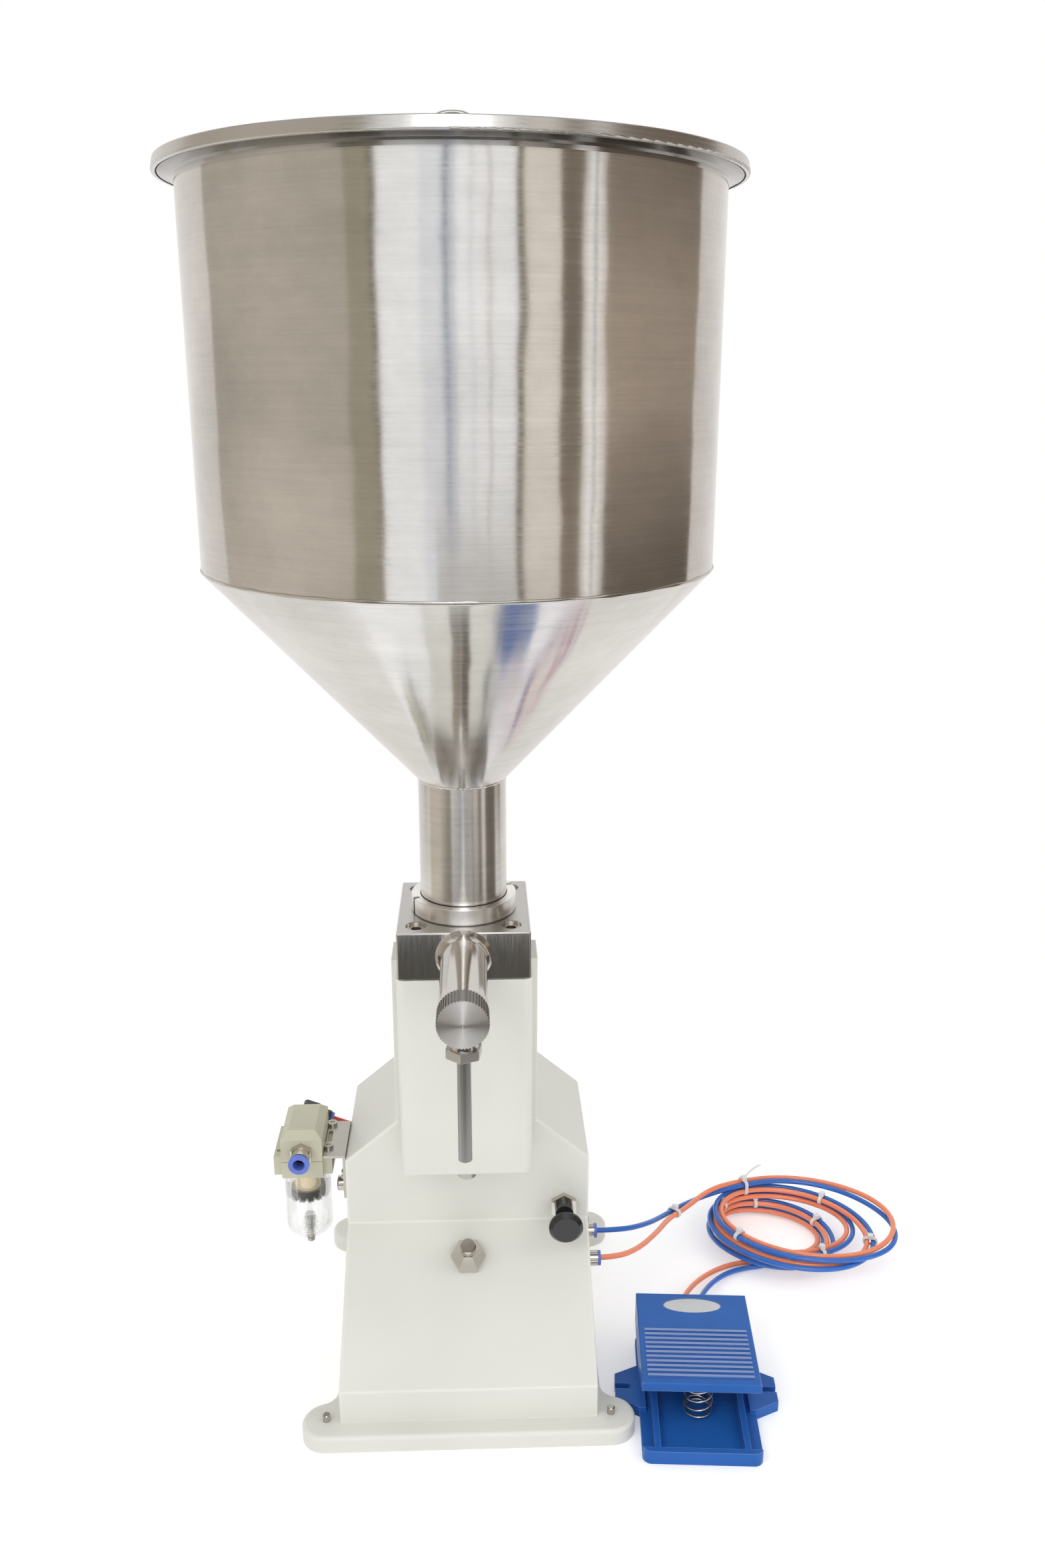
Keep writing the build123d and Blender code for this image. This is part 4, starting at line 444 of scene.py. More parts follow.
# Stretch of the noise for brush lines that run level or upright, and for grain without a direction
brushing_level = (4.0, 4.0, 900.0)
streaks_level = (12.0, 12.0, 420.0)
brushing_upright = (700.0, 700.0, 3.0)
fine_grain = (300.0, 300.0, 300.0)
coarse_grain = (90.0, 90.0, 90.0)

# Height of a fine grain
grain_height = 0.1 * mm


def painted(name, colour):
    """Powder coat with a fine orange peel, and a painted highlight along its edges."""
    paint = Paint(name)
    coat = paint.mix(paint.patches(9.0, detail=2.0), shade(colour, 0.97), shade(colour, 1.03))
    # Painted highlight: the edges and folds are made paler, standing in for light caught by the bends.
    coat_with_painted_highlight = paint.tint(paint.edges(width=1.2 * mm, bend=20.0), coat, shade(colour, 1.16))
    paint.link(coat_with_painted_highlight, "Base Color")
    paint.roughen(paint.noise(40.0), (0.34, 0.44))
    paint.bump(paint.noise(1500.0, detail=2.0), strength=0.2, distance=grain_height)
    paint.set(IOR=1.48)
    return paint.material


def brushed(name, colour, roughness, stretch):
    """Metal with a fine grain, drawn out one way where the stretch is uneven."""
    paint = Paint(name)
    smudge = paint.patches(7.0, detail=5.0)
    paint.link(paint.mix(smudge, shade(colour, 0.93), shade(colour, 1.03)), "Base Color")
    grain = paint.noise(1.0, stretch=stretch, detail=6.0, roughness=0.7)
    paint.roughen(grain, roughness)
    paint.bump(grain, strength=0.04, distance=grain_height)
    paint.set(Metallic=1.0)
    return paint.material


def rolled_sheet(name, colour, roughness, unevenness, seam=None, foot=None, blur=0.75):
    """Polished sheet steel, a little uneven, with brush lines that run level round the machine.

    Painted shade darkens the last few millimetres under a seam, where one is given by its height, and a
    painted shadow makes a thin line over the foot, where the sheet stands on another piece.
    """
    seam_depth = 6.0 * mm
    foot_solid = 0.2 * mm
    foot_height = 1.2 * mm
    paint = Paint(name)
    grain = paint.noise(1.0, stretch=brushing_level, detail=5.0, roughness=0.7)
    streaks = paint.noise(1.0, stretch=streaks_level, detail=6.0, roughness=0.7)
    smudge = paint.noise(7.0, stretch=(1, 1, 1.6), detail=8.0, roughness=0.7)
    tone = paint.spread(paint.add(smudge, streaks, 0.3), 0.0, 1.0, start=0.45, stop=0.85)
    surface = paint.mix(tone, shade(colour, 0.80), shade(colour, 1.08))
    if seam:
        # Painted shade: darker towards the seam, standing in for the shadow under the lip.
        painted_shade = paint.spread(paint.height(), 0.0, 0.85, start=seam - seam_depth, stop=seam)
        surface = paint.tint(painted_shade, surface, shade(colour, 0.16))
    if foot:
        # Painted shadow: a thin dark line just over the foot, where the piece stands on another.
        painted_shade = paint.spread(paint.height(), 0.95, 0.0, start=foot + foot_solid, stop=foot + foot_height)
        surface = paint.tint(painted_shade, surface, shade(colour, 0.08))
    paint.link(surface, "Base Color")
    paint.roughen(grain, roughness)
    waves = paint.noise(16.0, stretch=(1, 1, 0.8), detail=1.5)
    paint.bump(paint.add(waves, grain, 0.01), strength=1.0, distance=unevenness)
    paint.set(Metallic=1.0, Anisotropic=blur, Anisotropic_Rotation=0.25)
    return paint.material


def ground_block(name, colour):
    """Block with polished sides and a duller, ground top."""
    paint = Paint(name)
    top = paint.spread(paint.facing("Z"), 0.0, 1.0, start=0.5, stop=0.9)
    paint.link(paint.mix(top, colour, shade(colour, 0.74)), "Base Color")
    grain = paint.noise(1.0, stretch=(900.0, 6.0, 60.0), detail=5.0, roughness=0.7)
    edges = paint.edges(width=0.7 * mm, bend=60.0)
    sides = paint.add(paint.spread(grain, 0.07, 0.13), edges, 0.3)
    paint.link(paint.add(sides, top, 0.24), "Roughness")
    paint.bump(grain, strength=0.04, distance=grain_height)
    paint.set(Metallic=1.0)
    return paint.material


def turned_steel(name, colour, roughness, axis, middle, blur, rim=None):
    """Metal turned on a lathe about an axis at a height, with fine rings and a highlight across them.

    The rim round a face that looks to the front takes a shade of its own, where one is given.
    """
    paint = Paint(name)
    rings = paint.node("ShaderNodeTexWave")
    rings.wave_type = "RINGS"
    rings.rings_direction = axis
    rings.inputs["Scale"].default_value = 700.0
    rings.inputs["Distortion"].default_value = 0.4
    centre = paint.node("ShaderNodeMapping")
    centre.inputs["Location"].default_value = (0, 0, -middle * mm)
    paint.tree.links.new(paint.coordinates, centre.inputs["Vector"])
    paint.tree.links.new(centre.outputs["Vector"], rings.inputs["Vector"])
    paint.bump(rings.outputs["Fac"], strength=0.06, distance=grain_height / 2)
    surface = paint.mix(paint.patches(9.0, detail=6.0), shade(colour, 0.92), colour)
    if rim:
        aside = paint.spread(paint.facing("Y"), 0.0, 1.0, start=-0.9, stop=-0.5)
        surface = paint.tint(aside, surface, shade(colour, rim))
    paint.link(surface, "Base Color")
    paint.link(paint.spread(rings.outputs["Fac"], *roughness, start=0.0, stop=1.0), "Roughness")
    around = paint.node("ShaderNodeTangent")
    around.direction_type = "RADIAL"
    around.axis = axis
    paint.link(around.outputs["Tangent"], "Tangent")
    paint.set(Metallic=1.0, Anisotropic=blur, Anisotropic_Rotation=0.25)
    return paint.material


def plastic(name, colour, roughness, grain, wear_and_highlight=0.0, highlight_crest=None, gloss=0.35):
    """Moulded plastic whose edges turn pale by a share, partly worn and partly a painted highlight; what
    stands above a height takes the same pale as a painted highlight.

    Its grain is given by scale and strength.
    """
    grain_scale, grain_strength = grain
    wear_and_highlight_white = 0.9
    pale = tuple(channel * (1 - wear_and_highlight) + wear_and_highlight_white * wear_and_highlight for channel in colour)
    paint = Paint(name)
    surface = paint.mix(paint.patches(25.0, detail=3.0), shade(colour, 0.93), shade(colour, 1.05))
    # Edges made pale: partly wear, partly a painted highlight.
    if wear_and_highlight:
        surface = paint.tint(paint.edges(width=0.5 * mm, bend=50.0), surface, pale)
    # Painted highlight on what stands above the crest height, such as the treadle's ribs.
    if highlight_crest:
        top = paint.spread(paint.height(), 0.0, 1.0, start=highlight_crest - 0.3 * mm, stop=highlight_crest)
        surface = paint.tint(top, surface, pale)
    paint.link(surface, "Base Color")
    paint.roughen(paint.noise(90.0), roughness)
    paint.bump(paint.noise(grain_scale, detail=3.0), strength=grain_strength, distance=grain_height)
    paint.set(IOR=1.42, Specular_IOR_Level=gloss)
    return paint.material


def clear(name, colour):
    """Thin moulded plastic: part of the light goes straight through."""
    paint = Paint(name)
    paint.set(Transmission_Weight=1.0, IOR=1.3, Alpha=0.42)
    paint.link(paint.mix(paint.patches(60.0), shade(colour, 0.98), colour), "Base Color")
    paint.roughen(paint.noise(120.0), (0.06, 0.16))
    return paint.material


def hose_plastic(name, colour):
    """Smooth, shiny tube."""
    paint = Paint(name)
    tone = paint.patches(60.0, detail=3.0)
    paint.link(paint.mix(tone, shade(colour, 0.95), shade(colour, 1.06)), "Base Color")
    paint.roughen(paint.noise(150.0), (0.14, 0.22))
    paint.bump(paint.noise(900.0, detail=2.0), strength=0.05, distance=grain_height)
    paint.set(Coat_Weight=0.4, Coat_Roughness=0.1)
    return paint.material


def felt(name, colour):
    """Rough, pressed fibre."""
    paint = Paint(name)
    paint.link(paint.mix(paint.patches(900.0), shade(colour, 0.8), colour), "Base Color")
    paint.roughen(paint.noise(300.0), (0.8, 0.95))
    paint.bump(paint.noise(1600.0), strength=0.5, distance=3 * grain_height)
    return paint.material


finishes = {
    "cream_paint": painted("cream_paint", cream),
    "stainless": rolled_sheet("stainless", steel, (0.10, 0.18), unevenness=1.0 * mm),
    "polished_steel": brushed("polished_steel", (0.70, 0.68, 0.65), (0.10, 0.18), brushing_upright),
    "nickel": brushed("nickel", (0.60, 0.57, 0.52), (0.08, 0.15), fine_grain),
    "zinc_steel": brushed("zinc_steel", (0.50, 0.485, 0.44), (0.26, 0.32), coarse_grain),
    "plain_aluminium": brushed("plain_aluminium", (0.66, 0.67, 0.68), (0.3, 0.42), brushing_upright),
    "black_plastic": plastic("black_plastic", black, (0.14, 0.24), grain=(900.0, 0.06), gloss=0.8),
    "rubber": plastic("rubber", (0.025, 0.025, 0.025), (0.65, 0.85), grain=(700.0, 0.4)),
    "khaki_plastic": plastic("khaki_plastic", khaki, (0.34, 0.46), grain=(800.0, 0.25), wear_and_highlight=0.15),
    "clear_plastic": clear("clear_plastic", (0.96, 0.97, 0.96)),
    "filter_felt": felt("filter_felt", (0.96, 0.81, 0.57)),
    "blue_plastic": plastic("blue_plastic", pedal_blue, pedal_roughness, pedal_grain, pedal_wear_and_highlight),
    "blue_hose": hose_plastic("blue_hose", (0.025, 0.155, 0.58)),
    "orange_hose": hose_plastic("orange_hose", (1.0, 0.29, 0.15)),
    "red_hose": hose_plastic("red_hose", (0.75, 0.045, 0.02)),
    "white_nylon": plastic("white_nylon", (0.84, 0.84, 0.82), (0.3, 0.42), grain=(500.0, 0.1)),
}


def steel_finishes():
    """Finishes of the steel nodes that differ from their slot's."""
    lip_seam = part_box("hopper")[1][2] - lip_drop * mm
    ring_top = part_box("lock_ring")[1][2]
    block_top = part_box("valve_block")[1][2]
    lid_steel = shade(steel, 0.9)
    return {
        "outlet_cap": turned_steel("cap_steel", steel, (0.38, 0.46), "Y", outlet_height, blur=0.95, rim=0.5),
        # Hopper: painted shade under the lip's seam.
        "hopper": rolled_sheet("hopper_steel", steel, (0.10, 0.18), unevenness=1.0 * mm, seam=lip_seam),
        "hopper_cone": rolled_sheet("cone_steel", steel, (0.11, 0.17), unevenness=1.0 * mm),
        "hopper_lid": turned_steel("lid_steel", lid_steel, (0.25, 0.31), "Z", 0.0, blur=0.75),
        # Neck: painted shadow line where it stands in the lock ring.
        "hopper_neck": rolled_sheet("neck_steel", steel, (0.20, 0.28), unevenness=0.4 * mm,
                                    foot=ring_top, blur=0.8),
        # Lock ring: a paler copy of the steel as painted light, and a painted shadow line where it stands on
        # the block.
        "lock_ring": rolled_sheet("ring_steel", steel_with_painted_light, (0.28, 0.36), unevenness=0.1 * mm,
                                  foot=block_top, blur=0.8),
        "nozzle_nut": brushed("nut_steel", shade(steel, 0.72), (0.26, 0.36), brushing_level),
        # Outlet tube: a darker copy of the steel as painted shade.
        "nozzle_tube": brushed("tube_steel", shade(steel, 0.45), (0.26, 0.36), brushing_upright),
        "drain_stem": brushed("stem_steel", shade(steel, 0.6), (0.2, 0.3), brushing_upright),
        "valve_block": ground_block("ground_block", steel),
    }


def plastic_finishes():
    """Finishes of the plastic nodes that differ from their slot's."""
    ring_blue = plastic("ring_blue", (0.15, 0.22, 0.66), (0.3, 0.42), grain=(600.0, 0.1))
    # The treadle's rib tops take a painted highlight.
    rib_top = (treadle_top + treadle_rib_height) * mm
    treadle_blue = plastic("treadle_blue", pedal_blue, pedal_roughness, pedal_grain, pedal_wear_and_highlight, rib_top)
    return {
        "pedal_treadle": treadle_blue,
        "inlet_collet": ring_blue,
        "hose_collets": ring_blue,
    }


def dress_nodes():
    """Every node takes the finish of its material slot, apart from those with a finish of their own."""
    for entry in frame["record"]["subparts"]:
        data = nodes[entry["node"]].data
        data.materials.clear()
        data.materials.append(finishes[entry["material_slot"]])
    for name, finish in (steel_finishes() | plastic_finishes()).items():
        nodes[name].data.materials[0] = finish


# Mesh helpers

def add_rings(mesh, rings, closed):
    """Faces from each ring of points to the next, and round to the first if closed, else with end caps."""
    rows = [[mesh.verts.new(point) for point in ring] for ring in rings]
    following_rows = rows[1:] + rows[:1] if closed else rows[1:]
    for row, following in zip(rows, following_rows):
        for number in range(len(row)):
            after = (number + 1) % len(row)
            mesh.faces.new((row[number], row[after], following[after], following[number]))
    if not closed:
        mesh.faces.new(rows[0][::-1])
        mesh.faces.new(rows[-1])


def place_mesh(name, mesh, material, smooth):
    """New piece of a finished mesh."""
    data = bpy.data.meshes.new(name)
    mesh.to_mesh(data)
    mesh.free()
    for face in data.polygons:
        face.use_smooth = smooth
    data.materials.append(material)
    return place_object(name, data)


# Cable ties

def band_outline(width, height, corner):
    """Rounded rectangle about the middle, as pairs across and up."""
    steps = 6
    points = []
    for quarter, (across, up) in enumerate(((1, 1), (-1, 1), (-1, -1), (1, -1))):
        for number in range(steps + 1):
            angle = math.pi / 2 * (quarter + number / steps)
            points.append((across * (width / 2 - corner) + corner * math.cos(angle),
                           up * (height / 2 - corner) + corner * math.sin(angle)))
    return points


def add_strip(mesh, points, side, width, thickness):
    """Flat strip with closed ends along points, with its width along the side."""
    sections = []
    for number, point in enumerate(points):
        ahead = points[min(number + 1, len(points) - 1)] - points[max(number - 1, 0)]
        out = side.cross(ahead).normalized() * thickness / 2
        half = side * width / 2
        sections.append([point + half + out, point - half + out, point - half - out, point + half - out])
    add_rings(mesh, sections, closed=False)


def add_tail(mesh, start, away, up, length):
    """Free end of a strap, arched a little."""
    steps = 6
    line = []
    for number in range(steps + 1):
        share = number / steps
        line.append((start + away * length * share + up * length * tail_arch * share * (1 - share)) * mm)
    add_strip(mesh, line, away.cross(up).normalized(), tail_width * mm, tail_thickness * mm)


def add_tie(mesh, place, heading, width, height, tail=None):
    """Strap round a bundle, with its head on top and, where a length is given, a tail out of the head."""
    aside = Vector((-heading.y, heading.x, 0)).normalized()
    up = heading.cross(aside).normalized()
    half = heading * tie_width / 2

    def ring(grow, shift):
        corner = hose_diameter / 2 + grow
        outline = band_outline(width + 2 * grow, height + 2 * grow, corner)
        return [(place + aside * across + up * level + shift) * mm for across, level in outline]

    strap = [ring(0, -half), ring(tie_thickness, -half), ring(tie_thickness, half), ring(0, half)]
    add_rings(mesh, strap, closed=True)
    foot = place + up * (height / 2 + tie_thickness / 2)
    top = foot + up * (tie_thickness / 2 + tie_head_height)
    add_strip(mesh, [foot * mm, top * mm], heading, tie_head_width * mm, tie_head * mm)
    if tail:
        away = (heading + aside * tail_slant).normalized()
        add_tail(mesh, foot + up * tail_start, away, up, tail)


def spline_place(points, number):
    """Point of a smooth spline of order 3 abreast of one of its control points."""
    return (points[number - 1] + points[number] * 6 + points[number + 1]) / 8


def round_edges(piece, width):
    bevel = piece.modifiers.new("rounded", "BEVEL")
    bevel.width = width
    bevel.segments = 2
    bevel.limit_method = "ANGLE"


def make_ties():
    """Ties round the leads, the pairs in the coil and the knot, as one piece."""
    mesh = bmesh.new()
    room = hose_diameter + 2 * tie_gap
    pair = hose_pair_pitch + room
    add_tie(mesh, lead_tie, lead_tie_heading, pair, room)
    blue = coil_controls(hose_pair_pitch / 2)
    orange = coil_controls(-hose_pair_pitch / 2)
    for number in coil_tie_numbers:
        place = (spline_place(blue, number) + spline_place(orange, number)) / 2
        heading = (blue[number + 1] - blue[number - 1]).normalized()
        add_tie(mesh, place, heading, pair, room)
    first = coil_middle(0)
    second = coil_middle(1)
    knot = (first + second) / 2
    heading = coil_end(0, 1, 0)[1]
    spread = abs((second - first).dot(Vector((-heading.y, heading.x, 0))))
    add_tie(mesh, knot, heading, pair + spread, first.z - second.z + room + tie_gap, knot_tail)
    bmesh.ops.recalc_face_normals(mesh, faces=mesh.faces)
    ties = place_mesh("hose_ties", mesh, finishes["white_nylon"], smooth=False)
    round_edges(ties, tie_edge * mm)
    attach(ties, "machine")
    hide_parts("cable_ties")
    return ties


# Blank oval label let into the treadle

def make_label():
    """Thin oval plate with a rolled edge, a little domed."""
    sides = 64
    # Shares of the plate's size and of its thickness, from the foot of its edge to its top
    profile = ((1.0, 0.0), (1.0, 0.6), (0.985, 0.9), (0.95, 1.0), (0.6, 1.15), (0.25, 1.2))
    half_length = (label_length - label_clearance) / 2
    half_depth = (label_depth - label_clearance) / 2
    foot = treadle_top - label_recess + label_lift
    rings = []
    for share, rise in profile:
        level = foot + label_thickness * rise
        ring = []
        for number in range(sides):
            angle = 2 * math.pi * number / sides
            across = half_length * share * math.cos(angle)
            along = half_depth * share * math.sin(angle)
            ring.append(pedal_point(across, label_y + along, level) * mm)
        rings.append(ring)
    mesh = bmesh.new()
    add_rings(mesh, rings, closed=False)
    film = plastic("label_film", (0.62, 0.64, 0.65), (0.22, 0.34), grain=(400.0, 0.05))
    label = place_mesh("pedal_label", mesh, film, smooth=True)
    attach(label, "treadle")


# Springs

def spring_points(diameter, wire, height, turns):
    """Control points of a coil spring's wire, upwards from its foot, with a closed turn at each end."""
    per_turn = 16
    count = turns * per_turn
    radius = (diameter - wire) / 2
    points = []
    for number in range(count + 1):
        angle = 2 * math.pi * number / per_turn
        along = min(1.0, max(0.0, (number - per_turn) / (count - 2 * per_turn)))
        closing = wire * (min(number, per_turn) + max(0, number - count + per_turn)) / per_turn
        level = wire / 2 + closing + along * (height - 3 * wire)
        points.append(Vector((radius * math.cos(angle), radius * math.sin(angle), level)) * mm)
    return points


def make_spring(name, place, sizes):
    """Coil spring's wire along its own axis, in place of the spring's solid."""
    points = [place @ point for point in spring_points(*sizes)]
    wire = sizes[1]
    line = smooth_line(name, points, wire / 2 * mm, sides=4, steps=6)
    curve = bpy.data.objects.new(name + "_line", line)
    data = bpy.data.meshes.new_from_object(curve)
    bpy.data.objects.remove(curve)
    data.materials.append(finishes["polished_steel"])
    for face in data.polygons:
        face.use_smooth = True
    piece = place_object(name + "_wire", data)
    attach(piece, "machine")
    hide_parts(name)
    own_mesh(piece)


def make_springs():
    tray = Matrix.Translation(pedal_point(0, pedal_spring_y, tray_thickness + pedal_spring_gap) * mm)
    make_spring("pedal_spring", tray, pedal_spring)
    guide = Matrix.Translation(Vector((0, 0, inlet_spring_foot)) * mm)
    make_spring("inlet_spring", guide, inlet_spring)
    collar = Matrix.Translation(Vector((0, outlet_spring_foot, outlet_height)) * mm)
    collar = collar @ Matrix.Rotation(math.radians(-90), 4, "X")
    make_spring("outlet_spring", collar, outlet_spring)


# Weld beads on the hopper

def make_weld(name, radius, level):
    """Rippled bead round the hopper's axis, lying along a wall that leans outwards."""
    around = 180
    across = 8
    tilt = math.radians(weld_lean)
    rings = []
    for number in range(around):
        turn = 2 * math.pi * number / around
        ripple = 1 + sum(size * math.sin(waves * turn + shift) for size, waves, shift in weld_ripples)
        ring = []
        for step in range(across + 1):
            angle = math.pi * step / across
            along = weld_half_width * ripple * math.cos(angle)
            proud = weld_height * ripple * math.sin(angle) - weld_sunk
            out = radius + along * math.sin(tilt) + proud * math.cos(tilt)
            up = level + along * math.cos(tilt) - proud * math.sin(tilt)
            ring.append(Vector((out * math.sin(turn), -out * math.cos(turn), up)) * mm)
        rings.append(ring)
    mesh = bmesh.new()
    add_rings(mesh, rings, closed=True)
    bmesh.ops.recalc_face_normals(mesh, faces=mesh.faces)
    bead = place_mesh(name, mesh, finishes["polished_steel"], smooth=True)
    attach(bead, "machine")


def make_welds():
    neck_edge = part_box("hopper_neck")[1]
    make_weld("neck_weld", neck_edge[0] / mm, neck_edge[2] / mm)
    cone_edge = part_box("hopper_cone")[1]
    make_weld("cone_weld", cone_edge[0] / mm, cone_edge[2] / mm)


# Stage: floor, light, and cards that only show in reflections

def any_seen(tree):
    """One for camera, mirror and glass rays, nought for the light that falls on things."""
    path = tree.nodes.new("ShaderNodeLightPath")
    seen = path.outputs["Is Camera Ray"]
    for name in ("Is Glossy Ray", "Is Transmission Ray"):
        either = tree.nodes.new("ShaderNodeMath")
        either.operation = "MAXIMUM"
        tree.links.new(seen, either.inputs[0])
        tree.links.new(path.outputs[name], either.inputs[1])
        seen = either.outputs[0]
    return seen


def scaled(tree, first, second):
    """Value times another value or a plain number."""
    product = tree.nodes.new("ShaderNodeMath")
    product.operation = "MULTIPLY"
    tree.links.new(first, product.inputs[0])
    if isinstance(second, float):
        product.inputs[1].default_value = second
    else:
        tree.links.new(second, product.inputs[1])
    return product.outputs[0]


def far_off(tree):
    """Nought near the machine, rising to one where the floor is plain white."""
    place = tree.nodes.new("ShaderNodeTexCoord")
    distance = tree.nodes.new("ShaderNodeVectorMath")
    distance.operation = "LENGTH"
    tree.links.new(place.outputs["Object"], distance.inputs[0])
    far = tree.nodes.new("ShaderNodeMapRange")
    far.interpolation_type = "SMOOTHSTEP"
    far.inputs["From Min"].default_value = floor_shadow_reach
    far.inputs["From Max"].default_value = floor_white_reach
    tree.links.new(distance.outputs["Value"], far.inputs["Value"])
    return far.outputs["Result"]


def floor_material():
    """Pale floor that keeps shadows near the machine and is plain white further off."""
    material = bpy.data.materials.new("pale_floor")
    material.use_nodes = True
    tree = material.node_tree
    shader = tree.nodes["Principled BSDF"]
    shader.inputs["Base Color"].default_value = (*floor_colour, 1)
    shader.inputs["Roughness"].default_value = floor_roughness
    seen = any_seen(tree)
    glow = tree.nodes.new("ShaderNodeEmission")
    tree.links.new(scaled(tree, seen, floor_glow), glow.inputs["Strength"])
    near = tree.nodes.new("ShaderNodeAddShader")
    tree.links.new(shader.outputs[0], near.inputs[0])
    tree.links.new(glow.outputs[0], near.inputs[1])
    white = tree.nodes.new("ShaderNodeEmission")
    blend = tree.nodes.new("ShaderNodeMixShader")
    tree.links.new(scaled(tree, seen, far_off(tree)), blend.inputs[0])
    tree.links.new(near.outputs[0], blend.inputs[1])
    tree.links.new(white.outputs[0], blend.inputs[2])
    tree.links.new(blend.outputs[0], tree.nodes["Material Output"].inputs["Surface"])
    return material


def flat_sheet(name, corners, material):
    data = bpy.data.meshes.new(name)
    data.from_pydata(corners, [], [range(len(corners))])
    data.materials.append(material)
    sheet = place_object(name, data)
    return sheet


def make_floor():
    reach = floor_reach
    corners = [(-reach, -reach, 0), (reach, -reach, 0), (reach, reach, 0), (-reach, reach, 0)]
    flat_sheet("floor", corners, floor_material())


def card_material(name, colour, low_shade=1.0, high_shade=1.0):
    """Glowing card whose colour fades by one share to its foot and by another to its top."""
    material = bpy.data.materials.new(name)
    material.use_nodes = True
    tree = material.node_tree
    glow = tree.nodes.new("ShaderNodeEmission")
    split = tree.nodes.new("ShaderNodeSeparateXYZ")
    tree.links.new(tree.nodes.new("ShaderNodeNewGeometry").outputs["Position"], split.inputs[0])
    level = tree.nodes.new("ShaderNodeMapRange")
    level.inputs["From Min"].default_value = card_fade_foot
    level.inputs["From Max"].default_value = card_fade_top
    tree.links.new(split.outputs["Z"], level.inputs["Value"])
    ramp = tree.nodes.new("ShaderNodeValToRGB")
    ramp.color_ramp.elements.new(0.5)
    for element, share in zip(ramp.color_ramp.elements, (low_shade, 1.0, high_shade)):
        element.color = (*(channel * share for channel in colour), 1)
    tree.links.new(level.outputs["Result"], ramp.inputs["Fac"])
    tree.links.new(ramp.outputs["Color"], glow.inputs["Color"])
    tree.links.new(glow.outputs[0], tree.nodes["Material Output"].inputs["Surface"])
    return material


def show_in_reflections(card):
    card.visible_camera = False
    card.visible_diffuse = False
    card.visible_shadow = False
    card.visible_transmission = False


def round_machine(angle, radius, level):
    """Place at an angle in degrees round the machine from its front, right hand side first."""
    turn = math.radians(angle)
    return (radius * math.sin(turn), -radius * math.cos(turn), level)


def stand_card(name, start, stop, radius, low, top, material):
    """Upright card between two angles round the machine."""
    corners = [round_machine(start, radius, low), round_machine(stop, radius, low)]
    corners += [round_machine(stop, radius, top), round_machine(start, radius, top)]
    show_in_reflections(flat_sheet(name, corners, material))


def fan_card(name, start, stop, near, far, level, material):
    """Lying card between two angles and two distances from the machine's axis."""
    corners = [round_machine(start, near, level), round_machine(stop, near, level)]
    corners += [round_machine(stop, far, level), round_machine(start, far, level)]
    show_in_reflections(flat_sheet(name, corners, material))


def level_card(name, across, along, level, material):
    """Lying card, square to the machine."""
    corners = [(across[0], along[0], level), (across[1], along[0], level)]
    corners += [(across[1], along[1], level), (across[0], along[1], level)]
    show_in_reflections(flat_sheet(name, corners, material))


def make_card(name, start, stop, colour, low_shade=1.0, high_shade=1.0):
    """Card that lies on the floor from near the machine and stands up at its far end."""
    material = card_material(name, colour, low_shade, high_shade)
    stand_card(name, start, stop, card_radius, card_level, card_top, material)
    fan_card(name + "_foot", start, stop, card_near, card_radius, card_level, material)


def grade_cards(name, start, stop, first, last, low_shade=1.0, high_shade=1.0):
    """Row of narrow cards that goes from a first colour to a last one."""
    step = (stop - start) / cards_per_row
    for number in range(cards_per_row):
        share = (number + 0.5) / cards_per_row
        colour = tuple(one + (other - one) * share for one, other in zip(first, last))
        edge = start + number * step
        make_card(f"{name}_{number}", edge, edge + step, colour, low_shade, high_shade)


# Colours of the cards, and of the boxes that are brighter than white

warm_grey = (0.50, 0.45, 0.385)
olive = (0.37, 0.335, 0.25)
pale_grey = (0.86, 0.87, 0.90)
cool_grey = (0.66, 0.69, 0.75)
navy = (0.28, 0.31, 0.40)
floor_grey = (0.88, 0.86, 0.83)
ceiling_grey = (0.36, 0.35, 0.335)
rear_grey = (0.73, 0.68, 0.64)
rear_white = (0.97, 0.96, 0.95)
low_grey = (0.60, 0.58, 0.56)
beige = (0.90, 0.83, 0.75)
brown = (0.46, 0.375, 0.30)
deep_brown = (0.22, 0.18, 0.14)
deep = (0.085, 0.08, 0.068)
front_glow = (5.4, 5.3, 5.2)
top_glow = (1.3, 1.3, 1.3)


def make_upright_cards():
    """Dim parts of a studio, each named by the band that it gives the hopper."""
    make_card("left_edge_card", -41, -31.5, olive)
    make_card("left_line_card", -31.5, -29, deep_brown, low_shade=1.6)
    make_card("middle_card", -13, -5, pale_grey)
    make_card("middle_edge_card", -5, -3.4, cool_grey)
    make_card("middle_line_card", -3.4, -2, navy, low_shade=1.6, high_shade=0.5)
    make_card("middle_far_card", -2, 1, cool_grey)
    make_card("thin_line_card", 6.4, 7.0, cool_grey, low_shade=0.8, high_shade=0.6)
    make_card("line_card", 13.0, 13.8, brown)
    make_card("right_line_card", 24.5, 27.5, deep_brown)
    make_card("right_pale_card", 27.5, 41.5, beige, low_shade=0.8, high_shade=0.9)
    make_card("right_edge_card", 41.5, 51, deep_brown, low_shade=1.2)
    make_card("strip_near_card", 51, 53.4, beige, low_shade=0.8, high_shade=0.8)
    make_card("strip_line_card", 56, 57.2, brown, high_shade=0.6)
    make_card("strip_far_card", 59, 61.5, beige, low_shade=0.8, high_shade=0.8)


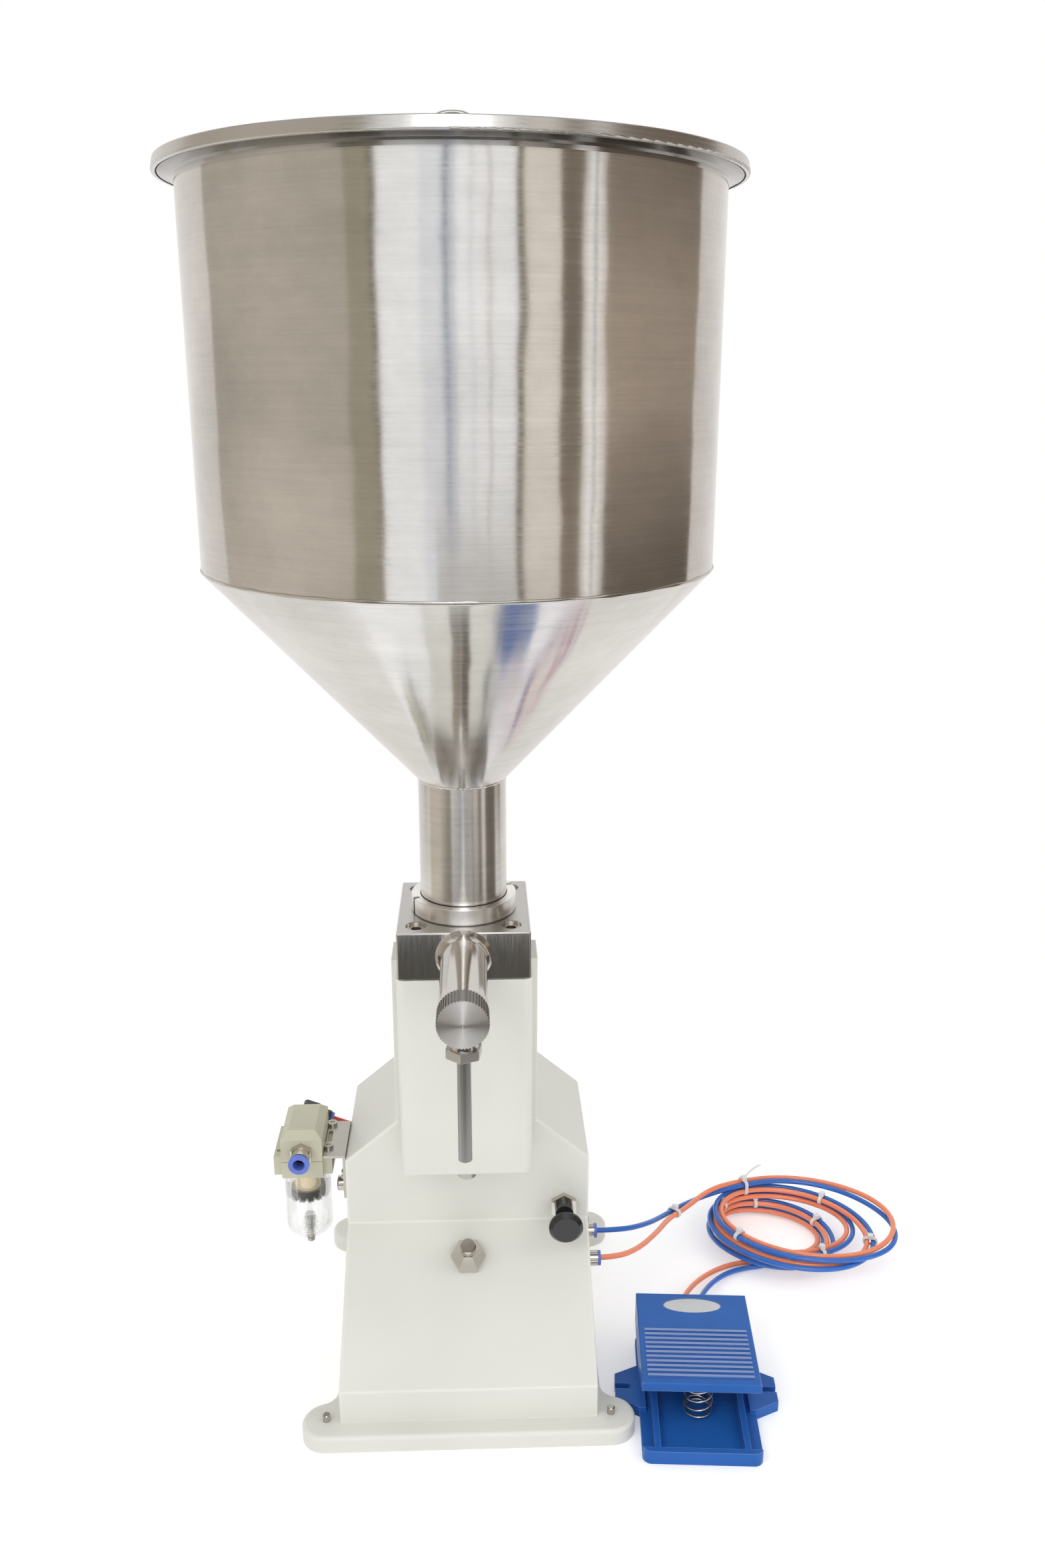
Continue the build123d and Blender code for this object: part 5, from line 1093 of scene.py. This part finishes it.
def make_graded_cards():
    """Soft bands at the hopper's sides and on its back."""
    dark_grey = shade(warm_grey, 0.86)
    light_grey = shade(warm_grey, 1.06)
    edge_grey = shade(warm_grey, 0.95)
    back_grey = shade(rear_grey, 0.97)
    grade_cards("left_rear_card", -180, -115, rear_white, back_grey)
    grade_cards("left_wide_card", -115, -78, dark_grey, light_grey, low_shade=1.2, high_shade=1.05)
    grade_cards("left_card", -78, -41, light_grey, edge_grey, low_shade=1.2, high_shade=1.05)
    light_brown = shade(brown, 1.12)
    dark_brown = shade(brown, 0.9)
    grade_cards("right_card", 61.5, 116, light_brown, dark_brown, low_shade=0.3, high_shade=0.4)
    grade_cards("right_rear_card", 116, 180, back_grey, rear_white)


def make_front_and_top_cards():
    """Low card and bright box before the upright cards, and the ceiling with a bright box under it."""
    low_card = card_material("middle_low_card", low_grey)
    stand_card("middle_low_card", -9, 24, radius=card_radius - 0.05, low=0.0, top=0.42, material=low_card)
    front_box = card_material("front_box", front_glow)
    stand_card("front_box", -11, 12, radius=card_radius - 0.1, low=1.45, top=2.5, material=front_box)
    ceiling = card_material("ceiling_card", ceiling_grey)
    level_card("ceiling_card", across=(-1.8, 1.8), along=(-1.0, 2.6), level=2.4, material=ceiling)
    top_box = card_material("top_box", top_glow)
    level_card("top_box", across=(-1.0, 1.0), along=(0.3, 0.8), level=2.2, material=top_box)


def make_floor_cards():
    """Floor as the underside of the hopper shows it: pale behind, dark before the machine."""
    for name, start, stop in (("left_floor_card", -180, -95), ("right_floor_card", 95, 180)):
        pale = card_material(name, floor_grey)
        fan_card(name, start, stop, near=0.25, far=1.4, level=rear_card_level, material=pale)
    dark = card_material("low_card", deep)
    level_card("low_card", across=(-0.8, 0.8), along=(-0.82, -0.45), level=front_card_level, material=dark)
    neck_card = card_material("neck_card", deep_brown)
    for name, across in (("left_neck_card", (-0.6, -0.07)), ("right_neck_card", (0.07, 0.6))):
        level_card(name, across, along=(-1.8, -1.0), level=front_card_level, material=neck_card)


def make_cards():
    make_upright_cards()
    make_graded_cards()
    make_front_and_top_cards()
    make_floor_cards()


def make_lamp(name, place, aim, size, power):
    data = bpy.data.lights.new(name, "AREA")
    data.shape = "RECTANGLE"
    data.size = size[0]
    data.size_y = size[1]
    data.energy = power
    lamp = place_object(name, data)
    lamp.location = place
    lamp.rotation_euler = (Vector(aim) - Vector(place)).to_track_quat("-Z", "Y").to_euler()
    lamp.visible_glossy = False


def make_light():
    """White world, dimmer as light than as background, and three soft lamps."""
    world = bpy.data.worlds.new("studio")
    bpy.context.scene.world = world
    world.use_nodes = True
    tree = world.node_tree
    background = tree.nodes["Background"]
    background.inputs["Color"].default_value = (1, 1, 1, 1)
    level = tree.nodes.new("ShaderNodeMapRange")
    level.inputs["To Min"].default_value = world_light
    level.inputs["To Max"].default_value = 1.0
    tree.links.new(any_seen(tree), level.inputs["Value"])
    tree.links.new(level.outputs["Result"], background.inputs["Strength"])
    make_lamp("key_lamp", place=(-1.3, -1.5, 1.9), aim=(0, 0, 0.4), size=(1.2, 1.2), power=12.5)
    make_lamp("fill_lamp", place=(2.0, -0.75, 1.5), aim=(0, 0, 0.4), size=(1.0, 1.4), power=8.0)
    make_lamp("low_lamp", place=(0.2, -2.4, 0.45), aim=(0, 0, 0.2), size=(1.8, 0.8), power=7.5)


make_camera()
make_floor()
make_light()
make_cards()
dress_nodes()
blue_points = hose_points(blue_bulkhead_y, blue_lead_points, pedal_port_spread / 2,
                          blue_tail_points, hose_pair_pitch / 2)
orange_points = hose_points(orange_bulkhead_y, orange_lead_points, -pedal_port_spread / 2,
                            orange_tail_points, -hose_pair_pitch / 2)
make_hose("blue_hose", blue_points, finishes["blue_hose"], [make_ties()])
make_hose("orange_hose", orange_points, finishes["orange_hose"], [])
make_springs()
make_welds()
make_label()

bpy.context.scene.view_settings.view_transform = "Standard"
